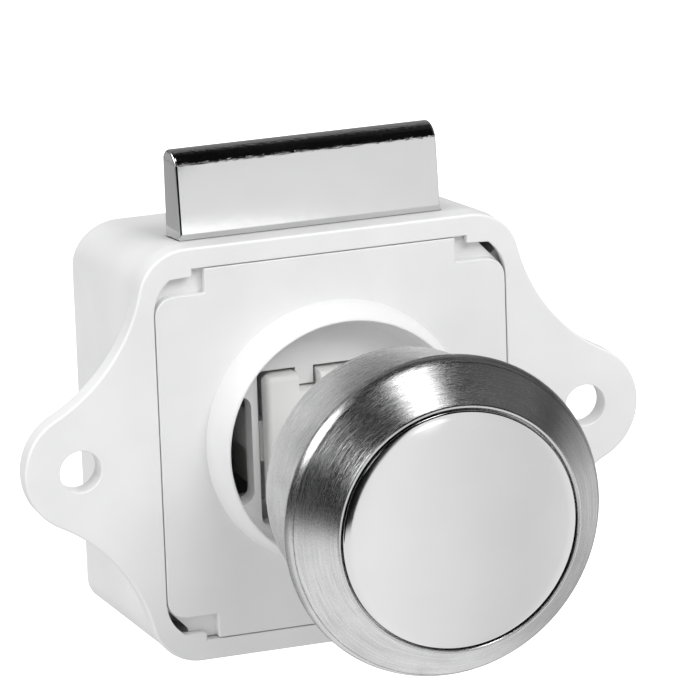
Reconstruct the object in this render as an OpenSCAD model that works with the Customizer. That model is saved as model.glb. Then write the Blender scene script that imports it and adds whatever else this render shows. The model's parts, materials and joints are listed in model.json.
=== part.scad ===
// Pushbutton cabinet latch, in millimetres.
// The origin lies midway between the two screw holes, on the face that meets the door.
// X runs from ear to ear, Z up along the bolt, and the knob stands out towards -Y.

/* [Cover] */
// Width of the front cover plate
cover_w = 45; // [42:0.5:50]
// Height of the front cover plate
cover_h = 46.9; // [44:0.1:52]
// Thickness of the cover plate
cover_t = 2.6; // [2.2:0.1:3]
// Gap all round between the cover plate and its recess
cover_gap = 0.12; // [0.05:0.01:0.3]
// Width of the cut-out at each corner of the cover
notch_w = 6.4; // [5:0.1:8]
// Height of the cut-out at each corner of the cover
notch_h = 3.1; // [2.6:0.1:4]
// Outer radius of the collar at its foot
collar_r = 17; // [16.4:0.1:18]
// Height of the collar above the plate
collar_h = 5.2; // [4:0.1:6]
// Radius of the opening in the collar
opening_r = 15.4; // [15:0.1:16]

/* [Case] */
// Width of the case's frame at each side of the cover
side_rim = 1.9; // [1.7:0.1:4]
// Width of the case's frame above and below the cover
top_rim = 2.6; // [2.4:0.05:5]
// Thickness of the case's back wall
back_wall = 2; // [1.4:0.1:2.4]
// Width of the ledge that carries the cover
ledge = 1; // [0.6:0.1:1.4]
// How far the top face falls towards the back
top_fall = 2.9; // [0:0.1:3.2]
// How far the bottom face rises towards the back
bottom_rise = 0; // [0:0.1:2]
// Radius of the case's four long corners
corner_r = 6.2; // [5:0.1:7]
// Radius that the two lower corners close down to at the back
heel_r = 3; // [2:0.1:6]

/* [Ears] */
// Thickness of the mounting flange and its ears
flange_t = 3; // [2.4:0.1:3.8]
// Distance between the two screw holes
hole_spacing = 65.4; // [63:0.2:69]
// Diameter of the screw holes
hole_d = 5.2; // [4:0.1:6]
// Radius of the ears' round ends
ear_r = 7.7; // [6.8:0.1:9]
// Distance of the ears' round ends inward from the screw holes
ear_inset = 0.7; // [0:0.1:1.5]
// Radius of the hollow curves between case and ears
ear_blend_r = 22; // [16:1:26]

/* [Bolt] */
// Width of the bolt
bolt_w = 33.6; // [30:0.2:35]
// Thickness of the bolt at its foot
bolt_t = 5.8; // [5.4:0.1:6.4]
// Height of the bolt above the case
bolt_out = 10.5; // [9.8:0.1:12]
// Travel of the bolt
bolt_travel = 9.4; // [7:0.1:9.5]
// Distance of the bolt's front face behind the mounting face
bolt_front = 4.2; // [3.8:0.1:5]
// Sideways offset of the bolt from the middle of the case
bolt_x = -0.9; // [-1.5:0.1:1.5]
// How much each face of the bolt leans in towards the nose
bolt_lean = 0.55; // [0.2:0.05:0.8]
// Radius of the bolt's nose
nose_r = 3.1; // [2.8:0.1:4]

/* [Plunger] */
// Height of the knob's axis above the middle of the case
knob_z = 0.8; // [0:0.1:1]
// Width of the plunger's square block
plunger_w = 18.6; // [17:0.1:19]
// Height of the plunger's square block
plunger_h = 17; // [16:0.1:17.4]
// How far the block stands out in front of the cover plate
plunger_out = 2.2; // [1:0.1:3]
// Travel of the knob
push_travel = 9; // [7:0.1:9.4]
// Radius of the plunger's neck
neck_r = 6; // [5:0.1:6.4]
// Gap between the plunger's block and its window
window_gap = 0.5; // [0.3:0.05:0.7]

/* [Cam follower] */
// Radius of the follower's wire
wire_r = 0.6; // [0.5:0.05:0.7]
// Sideways swing of the follower's tip over a full press
tip_swing = 3; // [2.6:0.1:3.2]
// Depth of the heart-shaped track
track_d = 1.6; // [1.2:0.1:2]

/* [Knob] */
// Radius of the knob's rim
rim_r = 19.45; // [18.6:0.05:22]
// Distance of the rim in front of the mounting face
rim_y = 38.4; // [37:0.1:42]
// Height of the bevel between the rim and the lip round the cap
bevel_h = 5.2; // [4:0.1:6]
// Radius of the skirt behind the rim
skirt_r = 16.4; // [16:0.1:17.5]
// Distance of the skirt's open edge in front of the mounting face
skirt_y = 21.5; // [19:0.1:24]
// Wall of the knob's shell
shell_t = 1.2; // [0.8:0.1:1.6]
// Radius of the cap
cap_r = 14.35; // [13.6:0.05:14.6]
// Height of the cap's edge over the lip round it
cap_edge = 0; // [-0.2:0.1:1]
// Height of the cap's dome
cap_dome = 0.5; // [0.3:0.1:1.5]

/* [Springs] */
// Mean radius of the plunger's spring
push_spring_r = 2.6; // [2.4:0.05:2.7]
// Wire radius of the plunger's spring
push_wire_r = 0.35; // [0.25:0.05:0.35]
// Turns of the plunger's spring
push_turns = 8; // [6:1:10]
// Mean radius of the two bolt springs
bolt_spring_r = 2; // [1.8:0.05:2.2]
// Wire radius of the two bolt springs
bolt_wire_r = 0.3; // [0.2:0.05:0.35]
// Turns of each bolt spring
bolt_turns = 9; // [7:1:11]

/* [Hidden] */

$fn = 64;
eps = 0.01;
slack = 0.1;

// Case and flange
recess_w = cover_w + 2 * cover_gap;
recess_h = cover_h + 2 * cover_gap;
recess_r = 2.6;
case_w = recess_w + 2 * side_rim;
case_h = recess_h + 2 * top_rim;
cavity_w = cover_w - 2 * ledge;
cavity_h = cover_h - 2 * ledge;
cavity_r = 3;
bolt_back = bolt_front + bolt_t;
end_room = 8.2;
cavity_back = bolt_back + push_travel + end_room;
case_d = cavity_back + back_wall;
back_chamfer = 0.9;
ear_x = hole_spacing / 2 - ear_inset;
corner_x = case_w / 2 - corner_r;
corner_z = case_h / 2 - corner_r;
// Catches across the corners of the recess, which hold the cover in
catch_t = 1.2;
catch_l = 4.95;
catch_h = 0.95;
catch_r = 5.4;
pocket_r = 1.7;
pocket_d = 12;
foot_x = 2.8;
foot_h = 1.35;
foot_rise = 4.3;
shoulder_r = 2.4;
floor_fillet = 1.6;
catch_shape = concat(
    [[-eps, -eps], [catch_l, -eps], [catch_l - slack, catch_h]],
    [for (a = [53:-11:9]) catch_r * [1 - cos(a), 1 - sin(a)]],
    [[-eps, catch_r - slack]]
);

// Bolt, carriage and their springs
bolt_mid = (bolt_front + bolt_back) / 2;
bolt_top = case_h / 2 + bolt_out;
bolt_gap = 0.15;
carriage_t = 3.2;
carriage_front = bolt_mid - carriage_t / 2;
carriage_back = bolt_mid + carriage_t / 2;
plunger_top = knob_z + plunger_h / 2;
plunger_bottom = knob_z - plunger_h / 2;
stop_gap = 0.5;
bolt_foot = plunger_top + bolt_travel + stop_gap;
tongue_top = bolt_foot + 5.2;
tongue_w = bolt_w - 3;
bar_top = plunger_bottom - stop_gap;
bar_bottom = -cavity_h / 2 + bolt_travel + stop_gap;
guide_w = 3.2;
guide_t = 1.6;
rib_t = 1.2;
leg_out = cavity_w / 2 - guide_w - slack;
leg_w = 3.3;
leg_in = leg_out - leg_w;
shoulder_z = bolt_foot - 3.6;
pin_r = 1.2;
pin_x = bolt_w * 0.3;
pin_z = (bolt_foot + tongue_top) / 2;
lug_z = 1;
lug_h = 3;
lug_d = 6.6;
spring_x = leg_out - leg_w / 2;
spring_y = carriage_back + lug_d - bolt_spring_r - bolt_wire_r - 0.7;
post_gap = 0.35;
post_l = 3.6;
lug_post_l = 2.5;
bolt_post_r = bolt_spring_r - bolt_wire_r - post_gap;
push_post_r = push_spring_r - push_wire_r - post_gap;

// Plunger, window and stop tabs
plunger_in = cavity_back - push_travel - 1.2;
window_w = plunger_w + 2 * (window_gap + 0.2);
window_h = plunger_h + 2 * window_gap - 0.2;
rib_h = 5.2;
rib_x = window_w / 2 - 0.15;
tab_x = 3.9;
tab_w = 2.3;
tab_h = 2.2;
slot_gap = 0.25;
side_strip = 0.85;
void_x = window_w / 2 + side_strip;
void_r = opening_r - 0.7;
void_h = 13.6;
spring_bore_r = push_spring_r + push_wire_r + 0.45;
spring_seat = 2;

// Follower: its tip stands in the track and its other leg turns in the boss
arm_l = push_travel + 1.8;
tip_y = plunger_in - 2.6;
pivot_y = tip_y + arm_l;
arm_z = plunger_bottom - wire_r - 0.35;
pivot_hole_r = wire_r + 0.05;
boss_top = arm_z - wire_r - slack;
boss_front = pivot_y - 3;
boss_w = 6.4;
boss_h = 6.5;
pivot_l = 4;
track_r = wire_r + 0.4;
leaf_t = 0.3;
leaf_w = 7.4;
leaf_leg = 4.6;
leaf_slot_y = boss_front + 0.6;

// Knob
cone_y = rim_y + bevel_h;
web_front = cone_y - 2.4;
web_back = web_front - 1.4;
recess_cap_r = cap_r + 0.35;
shell_in_r = skirt_r - shell_t;
cap_roof = cone_y - 0.4;
cap_wall = 1;
washer_t = 0.6;
head_t = 1.3;
head_r = 3.6;
screw_r = 1.95;
hub_front = web_back;
hub_disc_t = 2.6;
neck_front = hub_front - hub_disc_t - 1.3;
insert_l = 8;
insert_r = 3.2;
sleeve_r = neck_r + 2.4;
sleeve_back = skirt_y + 1;
hub_ribs = 6;
hub_rib_l = 9;
hub_rib_t = 1.4;
flare_l = 7.4;
driver_w = 4;
driver_d = 0.8;

// A drawing in X and Z, made solid between two depths
module slab(y0, y1) {
    translate([0, y1, 0]) rotate([90, 0, 0]) linear_extrude(y1 - y0) children();
}

// A profile of radius and height in front of the mounting face, turned on the knob's axis
module turned() {
    translate([0, 0, knob_z]) rotate([90, 0, 0]) rotate_extrude() children();
}

module rounded_rect(w, h, r) {
    square([w - 2 * r, h], center = true);
    square([w, h - 2 * r], center = true);
    for (x = [-1, 1], z = [-1, 1])
        translate([x * (w / 2 - r), z * (h / 2 - r)]) circle(r);
}

// Where two circles around a and b cross, on the side away from the middle
function crossing(a, ra, b, rb) =
    let (v = b - a, d = norm(v), u = v / d)
    let (p = (ra * ra - rb * rb + d * d) / (2 * d), h = sqrt(ra * ra - p * p))
    a + p * u + h * [-u[1], u[0]];

// Outline of the flange: corner circles, hollow blends and round ears, all tangent
module flange_outline() {
    corner = [corner_x, corner_z];
    ear = [ear_x, 0];
    blend = crossing(corner, corner_r + ear_blend_r, ear, ear_r + ear_blend_r);
    on_corner = corner + corner_r * (blend - corner) / norm(blend - corner);
    on_ear = ear + ear_r * (blend - ear) / norm(blend - ear);
    difference() {
        union() {
            rounded_rect(case_w, case_h, corner_r);
            for (s = [-1, 1]) {
                translate([s * ear_x, 0]) circle(ear_r);
                polygon([
                    [0, -corner_z], [s * corner_x, -corner_z], [s * on_corner[0], -on_corner[1]],
                    [s * on_ear[0], -on_ear[1]], [s * ear_x, 0], [s * on_ear[0], on_ear[1]],
                    [s * on_corner[0], on_corner[1]], [s * corner_x, corner_z], [0, corner_z],
                ]);
            }
        }
        for (x = [-1, 1], z = [-1, 1])
            translate([x * blend[0], z * blend[1]]) circle(ear_blend_r, $fn = 160);
    }
}

// Section of the case, with one radius for its upper corners and one for its lower ones
module case_section(w, h, top_r, low_r) {
    hull() for (s = [-1, 1]) {
        translate([s * (w / 2 - top_r), h / 2 - top_r]) circle(top_r, $fn = 48);
        translate([s * (w / 2 - low_r), low_r - h / 2]) circle(low_r, $fn = 48);
    }
}

// Outer body of the case, whose top and bottom close in towards the back
module case_body() {
    back_h = case_h - top_fall - bottom_rise;
    back_z = (bottom_rise - top_fall) / 2;
    inner = 2 * back_chamfer;
    hull() {
        slab(flange_t - 1, flange_t) rounded_rect(case_w, case_h, corner_r, $fn = 48);
        translate([0, 0, back_z]) slab(case_d - back_chamfer - 0.2, case_d - back_chamfer)
            case_section(case_w, back_h, corner_r, heel_r);
        translate([0, 0, back_z]) slab(case_d - 0.2, case_d)
            case_section(case_w - inner, back_h - inner, corner_r - back_chamfer, heel_r - back_chamfer);
    }
}

// The same polygon in all four corners of a rectangle, measured inwards from each corner
module at_corners(w, h, shape) {
    for (x = [-1, 1], z = [-1, 1])
        polygon([for (p = shape) [x * (w / 2 - p[0]), z * (h / 2 - p[1])]]);
}

// Ribs inside the case that the carriage and the bolt slide on
module case_ribs() {
    for (s = [-1, 1]) {
        rib_x = s * (window_w / 2 + 1.9) - rib_t / 2;
        translate([rib_x, carriage_back + slack, -cavity_h / 2])
            cube([rib_t, cavity_back - carriage_back, cavity_h / 2 + plunger_top]);
        translate([rib_x, bolt_back + slack, plunger_top - eps])
            cube([rib_t, cavity_back - bolt_back, cavity_h / 2 - plunger_top + eps]);
        translate([
            s > 0 ? leg_out + slack : -cavity_w / 2 - eps, bolt_mid - guide_t / 2, -cavity_h / 2
        ]) cube([guide_w + eps, guide_t, cavity_h / 2 + shoulder_z]);
    }
}

// Boss on the back wall with the hole that the follower turns in and the leaf's slot
module follower_boss() {
    difference() {
        translate([-boss_w / 2, boss_front, boss_top - boss_h])
            cube([boss_w, cavity_back - boss_front + eps, boss_h]);
        translate([0, pivot_y, boss_top - pivot_l - 0.5]) cylinder(r = pivot_hole_r, h = pivot_l + 1);
        translate([-boss_w / 2 - 1, leaf_slot_y, boss_top - leaf_leg - 0.2])
            cube([boss_w + 2, leaf_t + 0.06, leaf_leg + 1]);
        translate([-boss_w / 2 - 1, boss_front - 1, boss_top - leaf_t - 0.05])
            cube([boss_w + 2, leaf_slot_y - boss_front + 1 + leaf_t, 1]);
    }
}

module case() color("white") {
    slot_w = bolt_w + 2 * bolt_gap;
    difference() {
        union() {
            slab(0, flange_t) flange_outline();
            case_body();
        }
        slab(-1, cover_t) rounded_rect(recess_w, recess_h, recess_r);
        slab(cover_t - eps, cavity_back) rounded_rect(cavity_w, cavity_h, cavity_r);
        // Open pockets in the ledge behind the catches
        for (x = [-1, 1], z = [-1, 1])
            translate([x * (recess_w / 2 - pocket_r - 0.2), 0, z * (recess_h / 2 - pocket_r - 0.2)])
                rotate([-90, 0, 0]) cylinder(r = pocket_r, h = pocket_d);
        // Slot for the bolt
        translate([bolt_x - slot_w / 2, bolt_front - bolt_gap, cavity_h / 2 - 1])
            cube([slot_w, bolt_t + 2 * bolt_gap, top_rim + ledge + 3]);
        // Screw holes in the ears
        for (s = [-1, 1])
            translate([s * hole_spacing / 2, -1, 0]) rotate([-90, 0, 0])
                cylinder(r = hole_d / 2, h = flange_t + 2);
    }
    slab(0, catch_t) at_corners(recess_w, recess_h, catch_shape);
    case_ribs();
    follower_boss();
    // Posts that the three springs stand on
    for (s = [-1, 1])
        translate([s * spring_x, spring_y, -cavity_h / 2 - eps]) cylinder(r = bolt_post_r, h = post_l);
    translate([0, cavity_back + eps, knob_z]) rotate([90, 0, 0]) cylinder(r = push_post_r, h = post_l);
}

// Collar profile: rounded outside, and hollow-filleted down to the plate inside
module collar_profile() {
    lip_t = 0.2;
    run = collar_r - opening_r - lip_t;
    outer_bow = (run * run + collar_h * collar_h) / (2 * run);
    difference() {
        intersection() {
            translate([opening_r - floor_fillet, -0.5])
                square([collar_r - opening_r + floor_fillet, collar_h + 0.5]);
            translate([collar_r - outer_bow, 0]) circle(outer_bow, $fn = 180);
        }
        translate([opening_r - 2 * floor_fillet, floor_fillet]) square([2 * floor_fillet, collar_h]);
        translate([opening_r - floor_fillet, floor_fillet]) circle(floor_fillet);
    }
}

// Window for the plunger, with the two stop tabs hanging from its top edge
module window_outline() {
    difference() {
        translate([0, knob_z]) rounded_rect(window_w, window_h, 0.8);
        for (s = [-1, 1])
            translate([s * tab_x - tab_w / 2, knob_z + window_h / 2 - tab_h]) square([tab_w, tab_h + 1]);
    }
}

// Openings left and right of the window, bounded by the collar
module side_voids() {
    intersection() {
        translate([0, knob_z]) circle(void_r);
        for (s = [-1, 1])
            translate([s > 0 ? void_x : -void_r, -void_h / 2]) square([void_r - void_x, void_h]);
    }
}

// Front layer of the plate: cut-outs for the catches, and a rounded shoulder above each
module plate_front() {
    w = notch_w;
    h = notch_h;
    r = shoulder_r;
    difference() {
        square([cover_w, cover_h], center = true);
        at_corners(cover_w, cover_h, [[-1, -1], [w, -1], [w, h], [-1, h]]);
        difference() {
            at_corners(cover_w, cover_h, [[-1, h - 1], [r, h - 1], [r, h + r], [-1, h + r]]);
            for (x = [-1, 1], z = [-1, 1])
                translate([x * (cover_w / 2 - r), z * (cover_h / 2 - h - r)]) circle(r);
        }
    }
}

// Back layer of the plate: feet under the catches, clipped to leave a gap beside each
module plate_back() {
    difference() {
        square([cover_w, cover_h], center = true);
        at_corners(cover_w, cover_h, [
            [-1, -1], [foot_x, -1], [foot_x, foot_h], [0, foot_rise], [-1, foot_rise],
        ]);
    }
}

module cover() color("whitesmoke") {
    step_y = catch_t + slack;
    difference() {
        union() {
            slab(0, step_y) plate_front();
            slab(step_y - eps, cover_t) plate_back();
            turned() collar_profile();
        }
        slab(-1, cover_t + 1) window_outline();
        slab(-1, cover_t + 1) side_voids();
    }
    // Ribs behind the plate that the carriage's legs slide on
    for (s = [-1, 1])
        translate([s * spring_x - rib_t / 2, cover_t - eps, -cavity_h / 2 + 1])
            cube([rib_t, carriage_front - cover_t - slack, cavity_h / 2 + plunger_top - 1]);
}

// Heart-shaped track: out along the right of the island, back to the seat, home on the left
module track_outline() {
    far_y = tip_y - push_travel;
    seat_y = far_y + 1.4;
    island = 0.95;
    side = tip_swing + track_r;
    difference() {
        union() {
            polygon([
                [-track_r, tip_y], [track_r, tip_y], [side, far_y + 0.6], [side, far_y - track_r * 0.4],
                [tip_swing, far_y - track_r], [-tip_swing, far_y - track_r],
                [-side, far_y - track_r * 0.4], [-side, far_y + 0.6],
            ]);
            translate([0, tip_y]) circle(track_r);
            for (s = [-1, 1]) translate([s * tip_swing, far_y]) circle(track_r);
        }
        // Island with the notch that holds the pressed knob
        polygon([
            [0, tip_y - 3.9], [island, far_y + 3.4], [island, seat_y + 0.3],
            [0, seat_y + track_r], [-island, seat_y + 0.3], [-island, far_y + 3.4],
        ]);
    }
}

module plunger() color("gainsboro") {
    stop_y = cover_t + 0.1;
    difference() {
        union() {
            translate([0, 0, knob_z]) slab(-plunger_out, plunger_in)
                rounded_rect(plunger_w, plunger_h, 0.9);
            // Side ribs that guide the block in its window
            for (s = [-1, 1])
                translate([s > 0 ? 0 : -rib_x, 1 - plunger_out, knob_z - rib_h / 2])
                    cube([rib_x, plunger_in + plunger_out - 1, rib_h]);
            turned() translate([0, -1]) square([neck_r - 0.05, neck_front + 1]);
        }
        // Slots that let the block past the cover's stop tabs
        for (s = [-1, 1])
            translate([
                s * tab_x - tab_w / 2 - slot_gap, -plunger_out - 1,
                knob_z + window_h / 2 - tab_h - slot_gap
            ]) cube([tab_w + 2 * slot_gap, plunger_out + 1 + stop_y, tab_h + 1]);
        // Bore for the spring, open to the back
        translate([0, spring_seat, knob_z]) rotate([-90, 0, 0]) cylinder(r = spring_bore_r, h = plunger_in);
        // Bore for the threaded insert, and clearance for the screw's end
        turned() translate([0, neck_front - insert_l]) square([insert_r, insert_l + 1]);
        turned() translate([0, neck_front - insert_l - 3]) square([screw_r + 0.3, insert_l]);
        translate([0, 0, plunger_bottom - 1]) linear_extrude(track_d + 1) track_outline();
    }
}

// Helical spring along +Z from 0 to len, with closed end turns
function coil_z(turn, turns, len, wire) =
    let (pitch = (len - 4 * wire - 2 * wire) / (turns - 2))
    turn < 1 ? wire + turn * 2 * wire
    : turn > turns - 1 ? len - wire - (turns - turn) * 2 * wire
    : wire * 3 + (turn - 1) * pitch;

module coil(len, mean_r, wire, turns) {
    steps = 14;
    sides = 6;
    count = turns * steps;
    points = [
        for (i = [0:count], k = [0:sides - 1])
            let (a = 360 * i / steps, b = 360 * k / sides, r = mean_r + wire * cos(b))
            [r * cos(a), r * sin(a), coil_z(i / steps, turns, len, wire) + wire * sin(b)]
    ];
    walls = [
        for (i = [0:count - 1], k = [0:sides - 1])
            let (n = (k + 1) % sides)
            [i * sides + k, (i + 1) * sides + k, (i + 1) * sides + n, i * sides + n]
    ];
    start = [for (k = [0:sides - 1]) k];
    end = [for (k = [sides - 1:-1:0]) count * sides + k];
    polyhedron(points, concat(walls, [start, end]), convexity = 10);
}

module plunger_spring() color("silver")
    translate([0, cavity_back, knob_z]) rotate([90, 0, 0])
        coil(cavity_back - spring_seat, push_spring_r, push_wire_r, push_turns);

module bolt_spring(side) color("silver")
    translate([side * spring_x, spring_y, -cavity_h / 2])
        coil(cavity_h / 2 + lug_z, bolt_spring_r, bolt_wire_r, bolt_turns);

module cam_follower() color("silver") {
    tip_top = plunger_bottom + track_d - 0.3;
    translate([0, tip_y, arm_z]) rotate([-90, 0, 0]) cylinder(r = wire_r, h = arm_l, $fn = 32);
    translate([0, tip_y, arm_z]) cylinder(r = wire_r, h = tip_top - arm_z, $fn = 32);
    translate([0, pivot_y, arm_z - wire_r - pivot_l])
        cylinder(r = wire_r, h = wire_r + pivot_l, $fn = 32);
    for (y = [tip_y, pivot_y]) translate([0, y, arm_z]) sphere(r = wire_r, $fn = 32);
}

// Leaf that keeps the follower's tip pressed up into its track
module follower_leaf() color("goldenrod") {
    leg_y = leaf_slot_y + 0.03;
    leaf_top = arm_z - wire_r - slack;
    difference() {
        translate([-leaf_w / 2, tip_y + 0.4, leaf_top - leaf_t])
            cube([leaf_w, leg_y + leaf_t - tip_y - 0.4, leaf_t]);
        for (s = [-1, 1])
            translate([s * leaf_w / 2, boss_front - 1, leaf_top]) cube([1.6, 5, 2], center = true);
    }
    translate([-boss_w / 2 + 0.6, leg_y, leaf_top - leaf_leg]) cube([boss_w - 1.2, leaf_t, leaf_leg]);
}

// Slide frame that goes round the plunger and carries the bolt on its tongue
module carriage_outline() {
    translate([bolt_x - tongue_w / 2, bolt_foot - eps]) square([tongue_w, tongue_top - bolt_foot]);
    for (s = [-1, 1]) {
        shoulder_in = window_w / 2 + 0.6;
        translate([s > 0 ? shoulder_in : -leg_out, shoulder_z])
            square([leg_out - shoulder_in, bolt_foot - shoulder_z]);
        translate([s > 0 ? leg_in : -leg_out, bar_bottom]) square([leg_w, shoulder_z - bar_bottom + eps]);
        // Gussets in the lower corners
        polygon([
            [s * (leg_in + eps), bar_top + 3], [s * (leg_in - 3), bar_top - eps],
            [s * (leg_in + eps), bar_top - eps],
        ]);
    }
    translate([-leg_out, bar_bottom]) square([2 * leg_out, bar_top - bar_bottom]);
}

module bolt_carriage() color("ivory") {
    difference() {
        slab(carriage_front, carriage_back) carriage_outline();
        for (s = [-1, 1])
            translate([bolt_x + s * pin_x, carriage_front - 1, pin_z]) rotate([-90, 0, 0])
                cylinder(r = pin_r, h = carriage_t + 2);
    }
    // Lugs that the springs push up, each with a post inside its spring
    for (s = [-1, 1]) {
        translate([s > 0 ? leg_in : -leg_out, carriage_back - eps, lug_z]) cube([leg_w, lug_d, lug_h]);
        translate([s * spring_x, spring_y, lug_z - lug_post_l])
            cylinder(r = bolt_post_r, h = lug_post_l + eps);
    }
}

// End view of the bolt: upright foot, faces leaning in, and a round nose
module bolt_profile() {
    lean_z = case_h / 2;
    top_t = bolt_t - 2 * bolt_lean;
    intersection() {
        polygon([
            [bolt_front, bolt_foot], [bolt_back, bolt_foot], [bolt_back, lean_z],
            [bolt_mid + top_t / 2, bolt_top], [bolt_mid - top_t / 2, bolt_top], [bolt_front, lean_z],
        ]);
        union() {
            translate([bolt_mid, bolt_top - nose_r]) circle(nose_r);
            translate([bolt_front - 1, bolt_foot - 1])
                square([bolt_t + 2, bolt_top - nose_r - bolt_foot + 1]);
        }
    }
}

module bolt_head() color("lightgray") {
    difference() {
        translate([bolt_x - bolt_w / 2, 0, 0]) rotate([90, 0, 90]) linear_extrude(bolt_w) bolt_profile();
        translate([bolt_x - tongue_w / 2, carriage_front, bolt_foot - 1])
            cube([tongue_w, carriage_t, tongue_top - bolt_foot + 1]);
        for (s = [-1, 1])
            translate([bolt_x + s * pin_x, bolt_front - 1, pin_z]) rotate([-90, 0, 0])
                cylinder(r = pin_r, h = bolt_t + 2);
    }
}

module bolt_pin(side) color("darkgray")
    translate([bolt_x + side * pin_x, bolt_front + 0.1, pin_z]) rotate([-90, 0, 0])
        cylinder(r = pin_r - 0.03, h = bolt_t - 0.2);

// Knob shell: open skirt, flared rim, bevel, and a recess for the cap
module knob_shell() color("darkgray") {
    flare_y = rim_y - flare_l;
    flare_h = flare_l - 0.9;
    flare_w = rim_r - skirt_r - 0.35;
    turned() polygon(concat(
        [[shell_in_r, skirt_y], [skirt_r - 0.3, skirt_y], [skirt_r, skirt_y + 0.3]],
        [for (t = [0:10:90]) [skirt_r + 0.15 + flare_w * (1 - cos(t)), flare_y + flare_h * sin(t)]],
        [[rim_r, rim_y - 0.7], [rim_r, rim_y], [recess_cap_r + 0.3, cone_y], [recess_cap_r, cone_y]],
        [[recess_cap_r, web_front], [screw_r + 0.3, web_front]],
        [[screw_r + 0.3, web_back], [shell_in_r, web_back]]
    ));
}

// Hub inside the knob: disc, sleeve over the plunger's neck, and ribs between them
module knob_hub() color("white") {
    disc_back = hub_front - hub_disc_t;
    difference() {
        union() {
            turned() translate([0, disc_back]) square([shell_in_r - 0.05, hub_disc_t]);
            turned() translate([0, sleeve_back]) square([sleeve_r, disc_back - sleeve_back + eps]);
            for (i = [0:hub_ribs - 1])
                translate([0, 0, knob_z]) rotate([0, i * 360 / hub_ribs, 0])
                    translate([0, -disc_back - eps, -hub_rib_t / 2])
                        cube([shell_in_r - 0.05, hub_rib_l, hub_rib_t]);
        }
        turned() translate([0, sleeve_back - 1]) square([neck_r + 0.05, neck_front - sleeve_back + 1.05]);
        turned() translate([0, sleeve_back]) square([screw_r + 0.15, hub_front]);
    }
}

// Domed cap that hides the screw
module knob_cap() color("gainsboro") {
    rim_h = cone_y + cap_edge;
    bow = (cap_r * cap_r + cap_dome * cap_dome) / (2 * cap_dome);
    turned() difference() {
        intersection() {
            translate([0, web_front + eps]) square([cap_r, rim_h + cap_dome - web_front]);
            translate([0, rim_h + cap_dome - bow]) circle(bow, $fn = 720);
        }
        translate([-1, web_front - 1]) square([cap_r - cap_wall + 1, cap_roof - web_front + 1]);
    }
}

// Screw from the front through washer, shell and hub into the plunger's insert
module knob_screw() color("silver") {
    head_y = web_front + washer_t;
    end_y = neck_front - insert_l + 0.5;
    difference() {
        turned() polygon([
            [0, end_y], [screw_r - 0.4, end_y], [screw_r, end_y + 0.6], [screw_r, head_y],
            [head_r, head_y], [head_r, head_y + head_t - 0.5], [head_r - 0.9, head_y + head_t],
            [0, head_y + head_t],
        ]);
        for (a = [0, 90])
            translate([0, -head_y - head_t, knob_z]) rotate([0, a, 0])
                cube([driver_w, 2 * driver_d, driver_d], center = true);
    }
}

module knob_washer() color("silver")
    turned() translate([screw_r + 0.2, web_front + 0.01]) square([head_r - screw_r + 0.4, washer_t - 0.02]);

// Brass insert with knurled outside that the screw bites into
module stem_insert() color("gold")
    turned() difference() {
        translate([screw_r + 0.05, neck_front - insert_l + 0.05])
            square([insert_r - screw_r - 0.1, insert_l - 0.1]);
        for (k = [1:3])
            translate([insert_r - 0.35, neck_front - insert_l + k * insert_l / 4 - 0.4]) square([1, 0.8]);
    }

case();
cover();
plunger();
plunger_spring();
cam_follower();
follower_leaf();
bolt_carriage();
bolt_head();
bolt_pin(-1);  // bolt_pin_left
bolt_pin(1);  // bolt_pin_right
bolt_spring(-1);  // bolt_spring_left
bolt_spring(1);  // bolt_spring_right
knob_shell();
knob_hub();
knob_cap();
knob_screw();
knob_washer();
stem_insert();
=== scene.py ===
"""Looks of a pushbutton cabinet latch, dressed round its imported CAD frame.

Sizes are in millimetres and become metres when a mesh is made. X runs from ear to ear, Z up
along the bolt and -Y out to the knob. Plane outlines run counter-clockwise in X and Z.
"""

from __future__ import annotations

import json
import logging
import math
from contextlib import contextmanager
from dataclasses import dataclass
from enum import Enum
from typing import Any, Callable, Iterable, Iterator, Mapping, Sequence

import bmesh
import bpy
from mathutils import Matrix, Vector

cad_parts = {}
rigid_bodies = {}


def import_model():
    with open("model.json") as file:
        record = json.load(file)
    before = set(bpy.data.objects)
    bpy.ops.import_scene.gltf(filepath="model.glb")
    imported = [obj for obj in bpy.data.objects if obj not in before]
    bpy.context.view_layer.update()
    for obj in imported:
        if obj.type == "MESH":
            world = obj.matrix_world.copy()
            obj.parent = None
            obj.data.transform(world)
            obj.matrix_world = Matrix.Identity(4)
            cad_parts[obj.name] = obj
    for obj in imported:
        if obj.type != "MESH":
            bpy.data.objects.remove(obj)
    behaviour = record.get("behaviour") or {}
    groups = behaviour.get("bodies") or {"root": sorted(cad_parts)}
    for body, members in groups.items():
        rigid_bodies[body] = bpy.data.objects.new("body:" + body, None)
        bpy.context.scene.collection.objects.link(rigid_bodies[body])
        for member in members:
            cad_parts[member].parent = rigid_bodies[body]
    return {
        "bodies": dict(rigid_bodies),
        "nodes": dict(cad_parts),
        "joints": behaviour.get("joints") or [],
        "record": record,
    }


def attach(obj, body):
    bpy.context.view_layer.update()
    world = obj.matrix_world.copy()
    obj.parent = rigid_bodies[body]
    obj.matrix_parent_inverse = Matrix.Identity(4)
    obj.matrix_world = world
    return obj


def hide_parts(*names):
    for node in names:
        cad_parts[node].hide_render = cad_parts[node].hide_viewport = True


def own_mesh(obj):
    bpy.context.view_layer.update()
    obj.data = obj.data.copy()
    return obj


Point = tuple[float, float]
Triple = tuple[float, float, float]
Object = bpy.types.Object
Material = bpy.types.Material
Socket = bpy.types.NodeSocket

MM = 0.001
SIDES = (-1, 1)
SOFT_STEP = 30
AXIS_Z = 0.8
KNOB_AXIS: Point = (0.0, AXIS_Z)
BOLT_SPRING: Point = (16.55, 12.3)
log = logging.getLogger("latch")


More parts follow.
